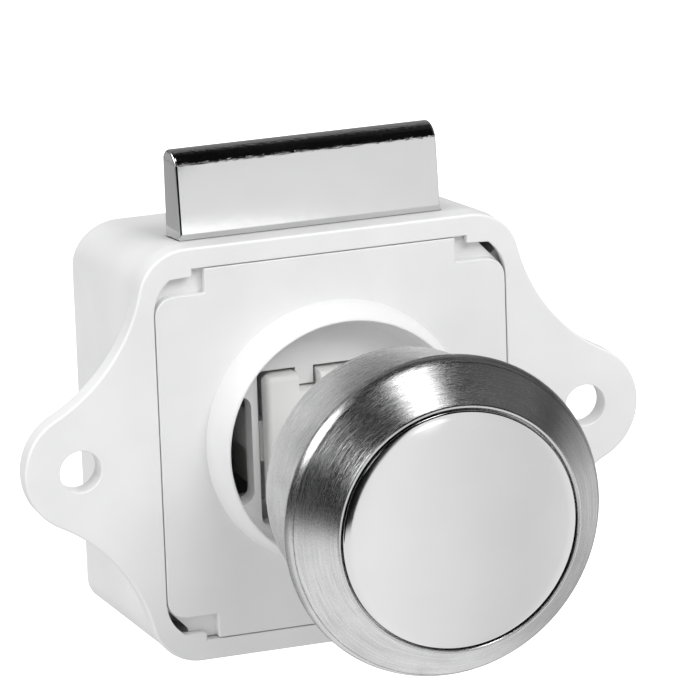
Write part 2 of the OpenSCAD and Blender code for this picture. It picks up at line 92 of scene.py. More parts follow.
class Body(str, Enum):
    """Bodies of the frame that a piece can ride on."""

    CASE = "case"
    KNOB = "knob"
    BOLT = "bolt"


class Cut(str, Enum):
    """Ways to join two closed solids."""

    ADD = "UNION"
    TAKE = "DIFFERENCE"


# Shader and geometry node trees


def operator(operation: str, swapped: bool = False) -> Callable[["Val", Any], "Val"]:
    """Make an arithmetic method for Val.

    Args:
        operation: The Math node's operation.
        swapped: The other value comes first.

    Returns:
        The method.
    """

    def method(self: "Val", other: Any) -> "Val":
        """Return the Math node's result."""
        return self.tree.math(operation, *((other, self) if swapped else (self, other)))

    return method


class Val:
    """A value socket of a node tree; arithmetic on it adds Math nodes."""

    __add__ = __radd__ = operator("ADD")
    __mul__ = __rmul__ = operator("MULTIPLY")
    __sub__ = operator("SUBTRACT")
    __rsub__ = operator("SUBTRACT", swapped=True)
    __truediv__ = operator("DIVIDE")

    def __init__(self, tree: "Tree", socket: Socket) -> None:
        """Wrap an output socket that carries a value."""
        self.tree = tree
        self.socket = socket

    def __neg__(self) -> "Val":
        """Return -self."""
        return self * -1.0

    def math(self, operation: str, *others: Any) -> "Val":
        """Return the result of a Math node on this value and others."""
        return self.tree.math(operation, self, *others)

    def step(self, low: float, high: float) -> "Val":
        """Return a smooth step from 0 at low to 1 at high."""
        ends = {"Value": self, "From Min": low, "From Max": high}
        return self.tree.value("ShaderNodeMapRange", ends, interpolation_type="SMOOTHSTEP")


class Tree:
    """A node tree with short ways to add nodes."""

    def __init__(self, tree: bpy.types.NodeTree) -> None:
        """Wrap and empty a node tree."""
        self.tree = tree
        tree.nodes.clear()

    def node(
        self, kind: str, inputs: Mapping[str | int, Any] | None = None, **settings: Any
    ) -> bpy.types.Node:
        """Add a node.

        Args:
            kind: The node's type name.
            inputs: Values or links by socket name or number.
            settings: Attributes of the node, set before its inputs.

        Returns:
            The new node.
        """
        made = self.tree.nodes.new(kind)
        for key, value in settings.items():
            setattr(made, key, value)
        for key, value in (inputs or {}).items():
            self.feed(made.inputs[key], value)
        return made

    def feed(self, socket: Socket, value: Any) -> None:
        """Link or set one input.

        Args:
            socket: The input.
            value: A value, socket or node to link, or else what to set.
        """
        if isinstance(value, Val):
            value = value.socket
        elif isinstance(value, bpy.types.Node):
            value = value.outputs[0]
        if isinstance(value, Socket):
            self.tree.links.new(value, socket)
        else:
            socket.default_value = value

    def value(self, kind: str, inputs: Mapping[str | int, Any], **settings: Any) -> Val:
        """Add a node and return its first output as a value."""
        return Val(self, self.node(kind, inputs, **settings).outputs[0])

    def math(self, operation: str, *values: Any) -> Val:
        """Add a Math node on up to three values."""
        return self.value("ShaderNodeMath", dict(enumerate(values)), operation=operation)

    def split(self, vector: Socket) -> list[Val]:
        """Return a vector's three parts."""
        return [Val(self, part) for part in self.node("ShaderNodeSeparateXYZ", {0: vector}).outputs]

    def vector(self, *parts: Any) -> Socket:
        """Return a vector made of three values."""
        return self.node("ShaderNodeCombineXYZ", dict(enumerate(parts))).outputs[0]


class Skin(Tree):
    """A material's tree, with coordinates in millimetres."""

    def __init__(self, name: str) -> None:
        """Make an empty material.

        Args:
            name: The material's name.
        """
        self.material = bpy.data.materials.new(name)
        self.material.use_nodes = True
        super().__init__(self.material.node_tree)

    def place(self) -> Socket:
        """Return the Object coordinates in millimetres."""
        coords = {0: self.node("ShaderNodeTexCoord").outputs["Object"], "Scale": 1 / MM}
        return self.node("ShaderNodeVectorMath", coords, operation="SCALE").outputs[0]

    def noise(self, vector: Socket, scale: float, detail: float = 2.0, rough: float = 0.5) -> Val:
        """Return a noise value around 0.5.

        Args:
            vector: Where the noise is read.
            scale: Features per unit of the vector.
            detail: Octaves.
            rough: Weight of the finer octaves.

        Returns:
            The noise's factor.
        """
        inputs = {"Vector": vector, "Scale": scale, "Detail": detail, "Roughness": rough}
        return self.value("ShaderNodeTexNoise", inputs)

    def tint(self, dark: Triple, light: Triple, mask: Val) -> Socket:
        """Mix two colours by a mask."""
        colours = {0: mask, 6: (*dark, 1.0), 7: (*light, 1.0)}
        return self.node("ShaderNodeMix", colours, data_type="RGBA").outputs[2]

    def bump(self, height: Val, distance: float, strength: float, **more: Any) -> bpy.types.Node:
        """Add a Bump node.

        Args:
            height: The relief.
            distance: Its depth in millimetres.
            strength: Its share that shows.
            more: Other inputs by name.

        Returns:
            The node.
        """
        inputs = {"Strength": strength, "Distance": distance * MM, "Height": height, **more}
        return self.node("ShaderNodeBump", inputs)

    def surface(self, **inputs: Any) -> Material:
        """Close the tree with a Principled shader.

        Args:
            inputs: Its inputs, with underscores for the spaces in their names.

        Returns:
            The finished material.
        """
        named = {key.replace("_", " "): value for key, value in inputs.items()}
        shader = self.node("ShaderNodeBsdfPrincipled", named)
        self.node("ShaderNodeOutputMaterial", {"Surface": shader})
        return self.material


@dataclass(frozen=True)
class MouldedPlastic:
    """White moulded plastic: faint flow marks, fine texture, softened edges."""

    name: str
    light: Triple = (0.86, 0.86, 0.86)
    dark: Triple = (0.81, 0.81, 0.815)
    roughness: float = 0.36
    grain: float = 0.02
    edge: float = 0.12
    flow_scale: float = 0.09
    wave_scale: float = 0.5
    speck_scale: float = 5.5

    def material(self) -> Material:
        """Build the material.

        Returns:
            The finish.
        """
        skin = Skin(self.name)
        place = skin.place()
        flow = skin.noise(place, self.flow_scale)
        speck = skin.noise(place, self.speck_scale)
        wave = skin.noise(place, self.wave_scale)
        mask = (flow * 0.8 + speck * 0.2).step(0.3, 0.7)
        edge = skin.node("ShaderNodeBevel", {"Radius": self.edge * MM}, samples=4)
        return skin.surface(
            Base_Color=skin.tint(self.dark, self.light, mask),
            Roughness=self.roughness + (speck - 0.5) * 0.12 + (flow - 0.5) * 0.1,
            Normal=skin.bump(speck * 0.6 + wave * 0.4, self.grain, 0.35, Normal=edge),
            IOR=1.46,
        )


@dataclass(frozen=True)
class BrushedNickel:
    """Nickel plating brushed in rings round the knob's axis."""

    name: str
    light: Triple = (0.78, 0.78, 0.78)
    dark: Triple = (0.56, 0.56, 0.565)
    roughness: float = 0.26
    streak: float = 0.04
    grain_scale: float = 4.5
    patch_scale: float = 0.22

    def material(self) -> Material:
        """Build the material.

        Returns:
            The finish.
        """
        skin = Skin(self.name)
        place = skin.place()
        x, y, z = skin.split(place)
        z = z - AXIS_Z
        radius = (x * x + z * z).math("SQRT").math("MAXIMUM", 0.01)
        across, round_x, round_z = radius + y, x / radius, z / radius

        def ringed(wide: float, long: float, rough: float) -> Val:
            """Return noise by its scales across the rings and along them."""
            where = skin.vector(across * wide, round_x * long, round_z * long)
            return skin.noise(where, 1.0, 2.0, rough)

        brush, hair = ringed(3.0, 2.5, 0.6), ringed(7.0, 7.0, 0.7)
        grain = skin.noise(place, self.grain_scale, 2.0, 0.6)
        patch = skin.noise(place, self.patch_scale)
        height = brush * 0.45 + hair * 0.3 + grain * 0.25
        mask = (height * 0.75 + patch * 0.25).step(0.35, 0.65)
        return skin.surface(
            Base_Color=skin.tint(self.dark, self.light, mask),
            Metallic=0.98,
            Roughness=self.roughness + (hair - 0.5) * 0.2 + (patch - 0.5) * 0.08,
            Normal=skin.bump(height, self.streak, 1.0),
        )


@dataclass(frozen=True)
class Plating:
    """Metal plating on a casting: slightly wavy, hazed, and coarse above a height if one is set."""

    name: str
    light: Triple
    dark: Triple
    roughness: float
    wave: float
    wave_scale: float
    coarse_above: float = 0.0
    coarse_gain: float = 25.0
    haze_scale: float = 0.12
    dust_scale: float = 7.0

    def material(self) -> Material:
        """Build the material.

        Returns:
            The finish.
        """
        skin = Skin(self.name)
        place = skin.place()
        swell = skin.noise(place, self.wave_scale)
        haze = skin.noise(place, self.haze_scale, 3.0)
        dust = skin.noise(place, self.dust_scale, 2.0, 0.7)
        height = swell * 0.85 + dust * 0.15
        low = self.coarse_above
        if low:
            x, y, z = skin.split(place)
            grit = skin.noise(skin.vector(x * 1.3, y * 2.6, z * 2.6), 1.0, 3.0, 0.65)
            crease = z.step(low, low + 0.2) * (1 - z.step(low + 0.25, low + 0.5)) * 2
            where = crease + z.step(low + 1.1, low + 1.3)
            height = height + (grit - 0.5) * where * self.coarse_gain
        mask = (haze * 0.8 + dust * 0.2).step(0.3, 0.7)
        return skin.surface(
            Base_Color=skin.tint(self.dark, self.light, mask),
            Metallic=1.0,
            Roughness=self.roughness + (haze - 0.5) * 0.08 + (dust - 0.5) * 0.05,
            Normal=skin.bump(height, self.wave, 0.5),
        )


@dataclass(frozen=True)
class DrawnWire:
    """Drawn or turned metal: fine scratches and stains."""

    name: str
    light: Triple = (0.66, 0.66, 0.67)
    dark: Triple = (0.42, 0.42, 0.43)
    roughness: float = 0.28
    scratch_d: float = 0.008
    scratch_scale: float = 9.0
    stain_scale: float = 0.6

    def material(self) -> Material:
        """Build the material.

        Returns:
            The finish.
        """
        skin = Skin(self.name)
        place = skin.place()
        scratch = skin.noise(place, self.scratch_scale, 3.0, 0.65)
        stain = skin.noise(place, self.stain_scale, 3.0)
        mask = (scratch * 0.4 + stain * 0.6).step(0.25, 0.7)
        return skin.surface(
            Base_Color=skin.tint(self.dark, self.light, mask),
            Metallic=1.0,
            Roughness=self.roughness + (scratch - 0.5) * 0.2 + (stain - 0.5) * 0.15,
            Normal=skin.bump(scratch, self.scratch_d, 0.4),
        )


# Plane outlines


def arc(centre: Point, radius: float, start: float, end: float, steps: int = 8) -> list[Point]:
    """Return points on an arc, both ends included.

    Args:
        centre: The arc's centre.
        radius: Its radius.
        start: Angle of the first point in degrees.
        end: Angle of the last point in degrees.
        steps: Number of chords.

    Returns:
        The points.
    """
    out = []
    for index in range(steps + 1):
        angle = math.radians(start + (end - start) * index / steps)
        out.append((centre[0] + radius * math.cos(angle), centre[1] + radius * math.sin(angle)))
    return out


def bends(radius: float, step: int = SOFT_STEP) -> list[Point]:
    """Follow a rounded edge from its face to its side.

    Args:
        radius: Radius of the edge; negative flares it out, and 0 leaves it sharp.
        step: Degrees from point to point.

    Returns:
        How deep each point lies behind the face, and how far in from the side.
    """
    turns = [math.radians(angle) for angle in range(0 if radius else 90, 91, step)]
    return [(abs(radius) * (1 - math.cos(t)), radius * (1 - math.sin(t))) for t in turns]


def heading(x: float, y: float) -> float:
    """Return a direction's angle in degrees."""
    return math.degrees(math.atan2(y, x))


def rounded_box(width: float, height: float, radius: float, centre: Point = (0, 0)) -> list[Point]:
    """Return a rounded rectangle.

    Args:
        width: Its size along X.
        height: Its size along Z.
        radius: Radius of its corners.
        centre: Its middle.

    Returns:
        The outline.
    """
    x, z = width / 2 - radius, height / 2 - radius
    out: list[Point] = []
    for cx, cz, start in ((x, z, 0), (-x, z, 90), (-x, -z, 180), (x, -z, 270)):
        out += arc((centre[0] + cx, centre[1] + cz), radius, start, start + 90)
    return out


def inset(outline: Sequence[Point], depth: float) -> list[Point]:
    """Move a counter-clockwise outline inwards, keeping its points.

    Args:
        outline: The outline.
        depth: How far in; negative moves it out.

    Returns:
        The moved outline.
    """
    out = []
    for index, here in enumerate(outline):
        one = Vector(here) - Vector(outline[index - 1])
        two = Vector(outline[(index + 1) % len(outline)]) - Vector(here)
        if min(one.length, two.length) < 1e-9:
            out.append(here)
            continue
        one.normalize()
        two.normalize()
        first, second = Vector((-one.y, one.x)), Vector((-two.y, two.x))
        mitre = (first + second) / max(0.3, 1 + first.dot(second))
        out.append((here[0] + mitre.x * depth, here[1] + mitre.y * depth))
    return out


def fillet_path(points: Sequence[Triple], steps: int) -> list[Point]:
    """Round the corners of a closed outline.

    Args:
        points: Each corner's two coordinates and its fillet radius.
        steps: Chords on each fillet.

    Returns:
        The rounded outline, in the same order.
    """
    out: list[Point] = []
    for index, (px, py, radius) in enumerate(points):
        if radius <= 0:
            out.append((px, py))
            continue
        here = Vector((px, py))
        before = Vector(points[index - 1][:2]) - here
        after = Vector(points[(index + 1) % len(points)][:2]) - here
        half = before.angle(after) / 2
        reach = min(radius / math.tan(half), before.length * 0.49, after.length * 0.49)
        radius = reach * math.tan(half)
        before.normalize()
        after.normalize()
        middle = here + (before + after).normalized() * (radius / math.sin(half))
        start, end = here + before * reach - middle, here + after * reach - middle
        sweep = start.angle_signed(end)
        for step in range(steps + 1):
            turn = Matrix.Rotation(-sweep * step / steps, 2) @ start
            out.append((middle.x + turn.x, middle.y + turn.y))
    return out


# Solids


@contextmanager
def editing(mesh: bpy.types.Mesh) -> Iterator[bmesh.types.BMesh]:
    """Open a mesh for a change and write it back.

    Args:
        mesh: The mesh.

    Yields:
        Its editable copy.
    """
    work = bmesh.new()
    work.from_mesh(mesh)
    yield work
    work.to_mesh(mesh)
    work.free()


def add(name: str, data: bpy.types.ID) -> Object:
    """Add an object to the scene.

    Args:
        name: Its name.
        data: Its mesh, light or camera.

    Returns:
        The object.
    """
    obj = bpy.data.objects.new(name, data)
    bpy.context.scene.collection.objects.link(obj)
    return obj


def make(name: str, verts: Iterable[Sequence[float]], faces: Iterable[Sequence[int]]) -> Object:
    """Make a mesh object with its faces turned outwards.

    Args:
        name: Its name.
        verts: Its points in millimetres.
        faces: Its faces as numbers of points.

    Returns:
        The object.
    """
    mesh = bpy.data.meshes.new(name)
    mesh.from_pydata([tuple(c * MM for c in v) for v in verts], [], [tuple(f) for f in faces])
    with editing(mesh) as work:
        bmesh.ops.remove_doubles(work, verts=work.verts, dist=1e-4 * MM)
        bmesh.ops.recalc_face_normals(work, faces=work.faces)
    return add(name, mesh)


def loft(name: str, rings: Sequence[Sequence[Triple]]) -> Object:
    """Join rings of points into a closed solid, capped at both ends.

    Args:
        name: The object's name.
        rings: Rings with the same number of points.

    Returns:
        The solid.
    """
    size, count = len(rings[0]), len(rings)
    faces: list[list[int]] = []
    for low in range(0, (count - 1) * size, size):
        for col in range(size):
            nxt = (col + 1) % size
            faces.append([low + col, low + nxt, low + size + nxt, low + size + col])
    faces += [list(range(size)), [(count - 1) * size + col for col in reversed(range(size))]]
    return make(name, [point for ring in rings for point in ring], faces)


def slab(
    name: str,
    outline: Sequence[Point],
    front: float,
    back: float,
    soft_front: float = 0.0,
    soft_back: float = 0.0,
) -> Object:
    """Make a plate from an outline between two depths.

    Args:
        name: The object's name.
        outline: Counter-clockwise points in X and Z.
        front: Depth of the front face.
        back: Depth of the back face.
        soft_front: Radius on the front edges; negative flares a cutter.
        soft_back: Radius on the back edges.

    Returns:
        The plate.
    """
    stations = [(front + run, depth) for run, depth in bends(soft_front)]
    stations += [(back - run, depth) for run, depth in reversed(bends(soft_back))]
    return loft(name, [[(x, y, z) for x, z in inset(outline, depth)] for y, depth in stations])


def turned(
    name: str,
    profile: Sequence[Point],
    steps: int = 192,
    axis: Point = KNOB_AXIS,
    pole: bool = False,
) -> Object:
    """Turn a profile round an axis along Y.

    Args:
        name: The object's name.
        profile: Points of radius and distance in front of the mounting face.
        steps: Segments round the axis.
        axis: The axis in X and Z.
        pole: The profile starts and ends on the axis.

    Returns:
        The turned solid.
    """
    size = len(profile)
    verts, faces = [], []
    for step in range(steps):
        angle = math.tau * step / steps
        for radius, reach in profile:
            x, z = radius * math.cos(angle), radius * math.sin(angle)
            verts.append((axis[0] + x, -reach, axis[1] + z))
        low, high = step * size, (step + 1) % steps * size
        for row in range(size - 1 if pole else size):
            nxt = (row + 1) % size
            faces.append([low + row, low + nxt, high + nxt, high + row])
    obj = make(name, verts, faces)
    if pole:
        with editing(obj.data) as work:
            bmesh.ops.dissolve_degenerate(work, edges=work.edges, dist=1e-5 * MM)
            bmesh.ops.recalc_face_normals(work, faces=work.faces)
    return obj


def block(name: str, low: Sequence[float], high: Sequence[float], soft: float = 0.0) -> Object:
    """Make a box.

    Args:
        name: The object's name.
        low: Its lowest corner.
        high: Its highest corner.
        soft: Radius on its edges.

    Returns:
        The box.
    """
    (x0, y0, z0), (x1, y1, z1) = low, high
    outline = [(x1, z1), (x0, z1), (x0, z0), (x1, z0)]
    obj = loft(name, [[(x, y, z) for x, z in outline] for y in (y0, y1)])
    if soft:
        edge = {"offset": soft * MM, "segments": 3, "profile": 0.5, "affect": "EDGES"}
        with editing(obj.data) as work:
            bmesh.ops.bevel(work, geom=work.edges[:], **edge)
    return obj


def rod(name: str, start: Triple, end: Triple, radius: float, steps: int) -> Object:
    """Make a round rod between two points.

    Args:
        name: The object's name.
        start: Middle of its first end.
        end: Middle of its last end.
        radius: Its radius.
        steps: Sides of its section.

    Returns:
        The rod.
    """
    turn = (Vector(end) - Vector(start)).to_track_quat("Z", "Y")
    around = [turn @ Vector((x, y, 0)) for x, y in arc((0, 0), radius, 0, 360, steps)[:-1]]
    rings = [[tuple(Vector(centre) + point) for point in around] for centre in (start, end)]
    return loft(name, rings)


def bore(name: str, x: float, z: float, ends: Point, radius: float, steps: int) -> Object:
    """Make a rod along Y between two depths."""
    return rod(name, (x, ends[0], z), (x, ends[1], z), radius, steps)


def freeze(obj: Object) -> Object:
    """Replace an object's mesh by its evaluated mesh and drop its modifiers.

    Args:
        obj: The object.

    Returns:
        The same object.
    """
    graph = bpy.context.evaluated_depsgraph_get()
    graph.update()
    mesh = bpy.data.meshes.new_from_object(obj.evaluated_get(graph), depsgraph=graph)
    obj.modifiers.clear()
    old, obj.data = obj.data, mesh
    bpy.data.meshes.remove(old)
    return obj


def combine(target: Object, tools: Iterable[Object], how: Cut) -> Object:
    """Add or take closed solids, and remove them.

    Args:
        target: The solid that is changed.
        tools: The solids that change it.
        how: Whether they are added or taken.

    Returns:
        The target.
    """
    for tool in tools:
        cut = target.modifiers.new("cut", "BOOLEAN")
        cut.operation = how.value
        cut.object = tool
        cut.solver = "MANIFOLD"
        freeze(target)
        bpy.data.objects.remove(tool)
    return target


def join(name: str, parts: Sequence[Object]) -> Object:
    """Join the meshes of several objects into the first.

    Args:
        name: The joined object's name.
        parts: The objects.

    Returns:
        The first object.
    """
    first, *others = parts
    with editing(first.data) as work:
        for part in others:
            work.from_mesh(part.data)
            bpy.data.objects.remove(part)
    first.name = name
    return first


def smooth(obj: Object, angle: float = 32.0) -> Object:
    """Shade smooth up to an angle, with the flat faces kept flat.

    Args:
        obj: The object.
        angle: The angle in degrees.

    Returns:
        The same object.
    """
    obj.data.shade_smooth()
    obj.data.set_sharp_from_angle(angle=math.radians(angle))
    weigh = obj.modifiers.new("flat", "WEIGHTED_NORMAL")
    weigh.keep_sharp = True
    weigh.weight = 80
    return freeze(obj)


@dataclass
class Frame:
    """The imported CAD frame, and the way pieces are put on it."""

    data: dict[str, Any]

    def paint(self, material: Material, *names: str) -> None:
        """Give CAD nodes that stay visible their finish.

        Args:
            material: The finish.
            names: The nodes.
        """
        for name in names:
            mesh = self.data["nodes"][name].data
            mesh.materials.clear()
            mesh.materials.append(material)
            log.info("node %s wears %s", name, material.name)

    def put(self, obj: Object, body: Body, material: Material, node: str) -> None:
        """Dress a finished piece and put it on its body.

        Args:
            obj: The piece.
            body: The body it rides on.
            material: Its finish.
            node: The CAD node that it stands for.
        """
        obj.data.materials.clear()
        obj.data.materials.append(material)
        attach(obj, body.value)
        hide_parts(node)
        faces = len(obj.data.polygons)
        log.info("piece %s rides on %s, %d faces", obj.name, body.value, faces)


# Geometry node trees for what repeats or follows a path


class Pattern(Tree):
    """A Geometry Nodes tree with named inputs, run once on an empty mesh."""

    KINDS = {float: "NodeSocketFloat", int: "NodeSocketInt", tuple: "NodeSocketVector"}

    def __init__(self, name: str, values: Mapping[str, Any]) -> None:
        """Make the tree.

        Args:
            name: The tree's name.
            values: Its inputs' values by name.
        """
        tree = bpy.data.node_groups.new(name, "GeometryNodeTree")
        super().__init__(tree)
        self.name = name
        self.values = values
        face = tree.interface
        face.new_socket("Geometry", in_out="OUTPUT", socket_type="NodeSocketGeometry")
        for key, value in values.items():
            face.new_socket(key, in_out="INPUT", socket_type=self.KINDS[type(value)])
        self.entry = self.node("NodeGroupInput")

    def given(self, name: str) -> Val:
        """Return a named input."""
        return Val(self, self.entry.outputs[name])

    def moved(self, geometry: bpy.types.Node, **how: Any) -> bpy.types.Node:
        """Add a Transform Geometry node."""
        return self.node("GeometryNodeTransform", {"Geometry": geometry, **how})

    def build(self, name: str, geometry: bpy.types.Node, material: Material) -> Object:
        """End the tree and turn its result into a plain mesh object.

        Args:
            name: The piece's name.
            geometry: The last geometry node.
            material: The finish that the tree sets.

        Returns:
            The piece, with no modifier left.
        """
        real = self.node("GeometryNodeRealizeInstances", {0: geometry})
        finish = {"Geometry": real, "Material": material}
        dressed = self.node("GeometryNodeSetMaterial", finish)
        self.node("NodeGroupOutput", {0: dressed})
        obj = add(name, bpy.data.meshes.new(name))
        run = obj.modifiers.new(self.name, "NODES")
        run.node_group = self.tree
        for item in self.tree.interface.items_tree:
            if item.item_type == "SOCKET" and item.in_out == "INPUT":
                run[item.identifier] = self.values[item.name]
        return freeze(obj)


@dataclass
class Spring:
    """Helix of round wire with closed ends, wound by Geometry Nodes."""

    base: Triple
    turn: Triple
    length: float
    radius: float
    wire: float
    turns: float
    ends: float = 0.74
    sides: int = 10
    steps: int = 28

    def wind(self, name: str, material: Material) -> Object:
        """Wind the helix.

        Args:
            name: The piece's name.
            material: Its finish.

        Returns:
            The helix, shaded smooth.
        """
        values = {
            "Length": (self.length - 2 * self.wire) * MM,
            "Radius": self.radius * MM,
            "Wire": self.wire * MM,
            "Turns": float(self.turns),
            "End closing": self.ends,
            "Base": tuple(c * MM for c in self.base),
            "Turn": self.turn,
        }
        tree = Pattern(name + "_winding", values)
        length, radius, wire, turns, ends, base, turn = map(tree.given, values)
        spiral = tree.node(
            "GeometryNodeCurveSpiral",
            {
                "Resolution": self.steps,
                "Rotations": turns,
                "Start Radius": radius,
                "End Radius": radius,
                "Height": 0.0,
            },
        )
        way = tree.value("GeometryNodeSplineParameter", {})
        rise = (way - (way * math.tau).math("SINE") * ends / math.tau) * length + wire
        lifted = {"Geometry": spiral, "Offset": tree.vector(0, 0, rise)}
        ring = {"Resolution": self.sides, "Radius": wire}
        along = {
            "Curve": tree.node("GeometryNodeSetPosition", lifted),
            "Profile Curve": tree.node("GeometryNodeCurvePrimitiveCircle", ring),
            "Fill Caps": True,
        }
        tube = tree.node("GeometryNodeCurveToMesh", along)
        helix = tree.build(name, tree.moved(tube, Translation=base, Rotation=turn), material)
        return smooth(helix, 80)


def spokes(
    name: str, depth: float, inner: float, size: Triple, count: int, material: Material
) -> Object:
    """Set equal blocks in a ring round the knob's axis by Geometry Nodes.

    Args:
        name: The piece's name.
        depth: Middle of the blocks along Y.
        inner: Radius of their inner faces.
        size: A block's size outwards, along Y and across.
        count: How many.
        material: Their finish.

    Returns:
        The ring of blocks.
    """
    values = {
        "Count": count,
        "Middle radius": (inner + size[0] / 2) * MM,
        "Block": tuple(c * MM for c in size),
        "Centre": (0.0, depth * MM, AXIS_Z * MM),
    }
    tree = Pattern(name + "_ring", values)
    number, radius, box, centre = map(tree.given, values)
    cube = tree.node("GeometryNodeMeshCube", {"Size": box})
    angle = tree.value("GeometryNodeInputIndex", {}) * math.tau / number
    ring = tree.node(
        "GeometryNodeInstanceOnPoints",
        {
            "Points": tree.node("GeometryNodePoints", {"Count": number}),
            "Instance": tree.moved(cube, Translation=tree.vector(radius, 0, 0)),
            "Rotation": tree.vector(0, angle, 0),
        },
    )
    return tree.build(name, tree.moved(ring, Translation=centre), material)


# The latch's sub-assemblies


@dataclass
class CaseShell:
    """White moulded case: flange with two ears, recess for the cover, and the inside."""

    half_w: float = 24.52
    half_h: float = 26.17
    corner_r: float = 6.2
    ear_x: float = 32.0
    ear_r: float = 7.7
    blend_r: float = 22.0
    flange_t: float = 3.0
    depth: float = 29.2
    back_y: float = 27.2
    top_fall: float = 2.9
    heel_r: float = 3.0
    soft: float = 0.32
    flange_edge: float = 0.5
    back_edge: float = 1.1
    hole_x: float = 32.7
    hole_r: float = 2.6
    hole_lip: float = 0.16
    recess: Triple = (45.24, 47.14, 2.6)
    recess_d: float = 2.6
    recess_flare: float = 0.14
    cavity: Triple = (43.0, 44.9, 3.0)
    pocket: Triple = (1.9, 12.0, 1.7)
    bolt_x: Point = (-17.7, 15.9)
    bolt_y: Point = (4.2, 10.0)
    bolt_gap: float = 0.15
    catch: Point = (4.95, 0.95)
    catch_r: float = 5.4
    catch_t: float = 1.2
    rib_x: float = 11.9
    rib_t: float = 1.2
    guide_x: Point = (18.3, 21.7)
    guide_y: Point = (6.3, 7.9)
    post_l: float = 3.6
    boss_w: float = 6.4
    boss_z: Point = (-15.85, -9.35)
    pivot_y: float = 25.2

    def quarter(self) -> tuple[list[Point], int]:
        """Outline the flange's upper right quarter, from its top to the ear.

        Returns:
            The points, and how many of them belong to the corner.
        """
        corner = Vector((self.half_w - self.corner_r, self.half_h - self.corner_r))
        ear = Vector((self.ear_x, 0.0))
        first, second = self.corner_r + self.blend_r, self.ear_r + self.blend_r
        reach = (ear - corner).length
        unit = (ear - corner) / reach
        part = (first**2 - second**2 + reach**2) / (2 * reach)
        rise = math.sqrt(first**2 - part**2)
        middle = corner + unit * part + Vector((-unit.y, unit.x)) * rise
        top = arc(tuple(corner), self.corner_r, 90, heading(*(middle - corner)), 16)
        start, end = heading(*(corner - middle)), heading(*(ear - middle))
        blend = arc(tuple(middle), self.blend_r, start, end, 32)
        round_end = arc(tuple(ear), self.ear_r, heading(*(middle - ear)), 0, 16)
        return top + blend[1:] + round_end[1:], len(top)

    def around(self, quarter: Sequence[Point]) -> list[Point]:
        """Mirror a quarter into a whole counter-clockwise outline."""
        right = list(quarter) + [(x, -z) for x, z in reversed(quarter[:-1])]
        return list(reversed(right + [(-x, z) for x, z in reversed(right)]))

    def section(self, body: Sequence[Point], depth: float, y: float) -> list[Triple]:
        """Inset the body's outline, let its top fall and tighten its lower corners.

        Args:
            body: The outline behind the flange.
            depth: How far in.
            y: Where the section lies.

        Returns:
            The section's ring.
        """
        share = max(0.0, (y - self.flange_t) / (self.depth - self.flange_t))
        radius = self.corner_r - depth
        tighter = (self.corner_r + (self.heel_r - self.corner_r) * share - depth) / radius
        half_w, half_h = self.half_w - depth, self.half_h - depth
        out = []
        for x, z in inset(body, depth):
            in_x, in_z = half_w - abs(x), half_h - abs(z)
            if z < 0 and max(in_x, in_z) < radius + 1e-6:
                x, z = math.copysign(half_w - in_x * tighter, x), in_z * tighter - half_h
            fall = self.top_fall * share / self.half_h if z > 0 else 0.0
            out.append((x, y, z * (1 - fall)))
        return out

    def outer(self) -> Object:
        """Build the outer solid as one loft from the front face to the back.

        Returns:
            The solid.
        """
        quarter, shared = self.quarter()
        outline = self.around(quarter)
        side = quarter[:shared]
        corner = (self.half_w - self.corner_r, self.half_h - self.corner_r)
        start = heading(side[-1][0] - corner[0], side[-1][1] - corner[1])
        side += arc(corner, self.corner_r, start, 0, 6)[1:]
        rest = len(quarter) - len(side)
        side += [(self.half_w, corner[1] * (1 - (k + 1) / rest)) for k in range(rest)]
        body = self.around(side)
        rings = [[(x, y, z) for x, z in inset(outline, depth)] for y, depth in bends(self.soft, 15)]
        for run, depth in bends(self.flange_edge):
            ring = []
            for (x, z), (mx, mz) in zip(outline, inset(outline, run)):
                share = min(1.0, max(0.0, (abs(x) - self.half_w) / 2.5))
                ring.append((x + (mx - x) * share, self.flange_t - depth, z + (mz - z) * share))
            rings.append(ring)
        long = self.depth - self.flange_t
        rings += [self.section(body, 0.0, self.flange_t + long * s) for s in (0.0, 0.33, 0.66)]
        for run, depth in bends(self.back_edge, 15):
            rings.append(self.section(body, run, self.depth - depth))
        return loft("case_shell", rings)

    def cutters(self) -> list[Object]:
        """Build the solids that hollow the case out.

        Returns:
            The cutters.
        """
        width, height, radius = self.recess
        flare, gap, top = self.recess_flare, self.bolt_gap, self.cavity[1] / 2 - 0.5
        mouth = rounded_box(width + 2 * flare, height + 2 * flare, radius)
        out = [
            slab("recess", rounded_box(*self.recess), -0.001, self.recess_d, -flare),
            slab("front", mouth, -2, 0.0005),
            slab("cavity", rounded_box(*self.cavity), self.recess_d - 0.1, self.back_y),
        ]
        near, deep, pocket_r = self.pocket
        for sx in SIDES:
            for sz in SIDES:
                x, z = sx * (width / 2 - near), sz * (height / 2 - near)
                out.append(bore("pocket", x, z, (0, deep), pocket_r, 24))
        low = (self.bolt_x[0] - gap, self.bolt_y[0] - gap, top)
        high = (self.bolt_x[1] + gap, self.bolt_y[1] + gap, self.half_h + 2)
        out.append(block("slot", low, high))
        wide, thick = self.hole_r + self.hole_lip, self.flange_t
        front = [(self.hole_r + depth, -run) for run, depth in bends(self.hole_lip)]
        rear = [(r, -thick - h) for r, h in reversed(front)]
        profile = [(0, 0.5), (wide, 0.5), *front, *rear, (wide, -thick - 0.5), (0, -thick - 0.5)]
        for side in SIDES:
            out.append(turned("hole", profile, 64, (side * self.hole_x, 0.0), pole=True))
        return out

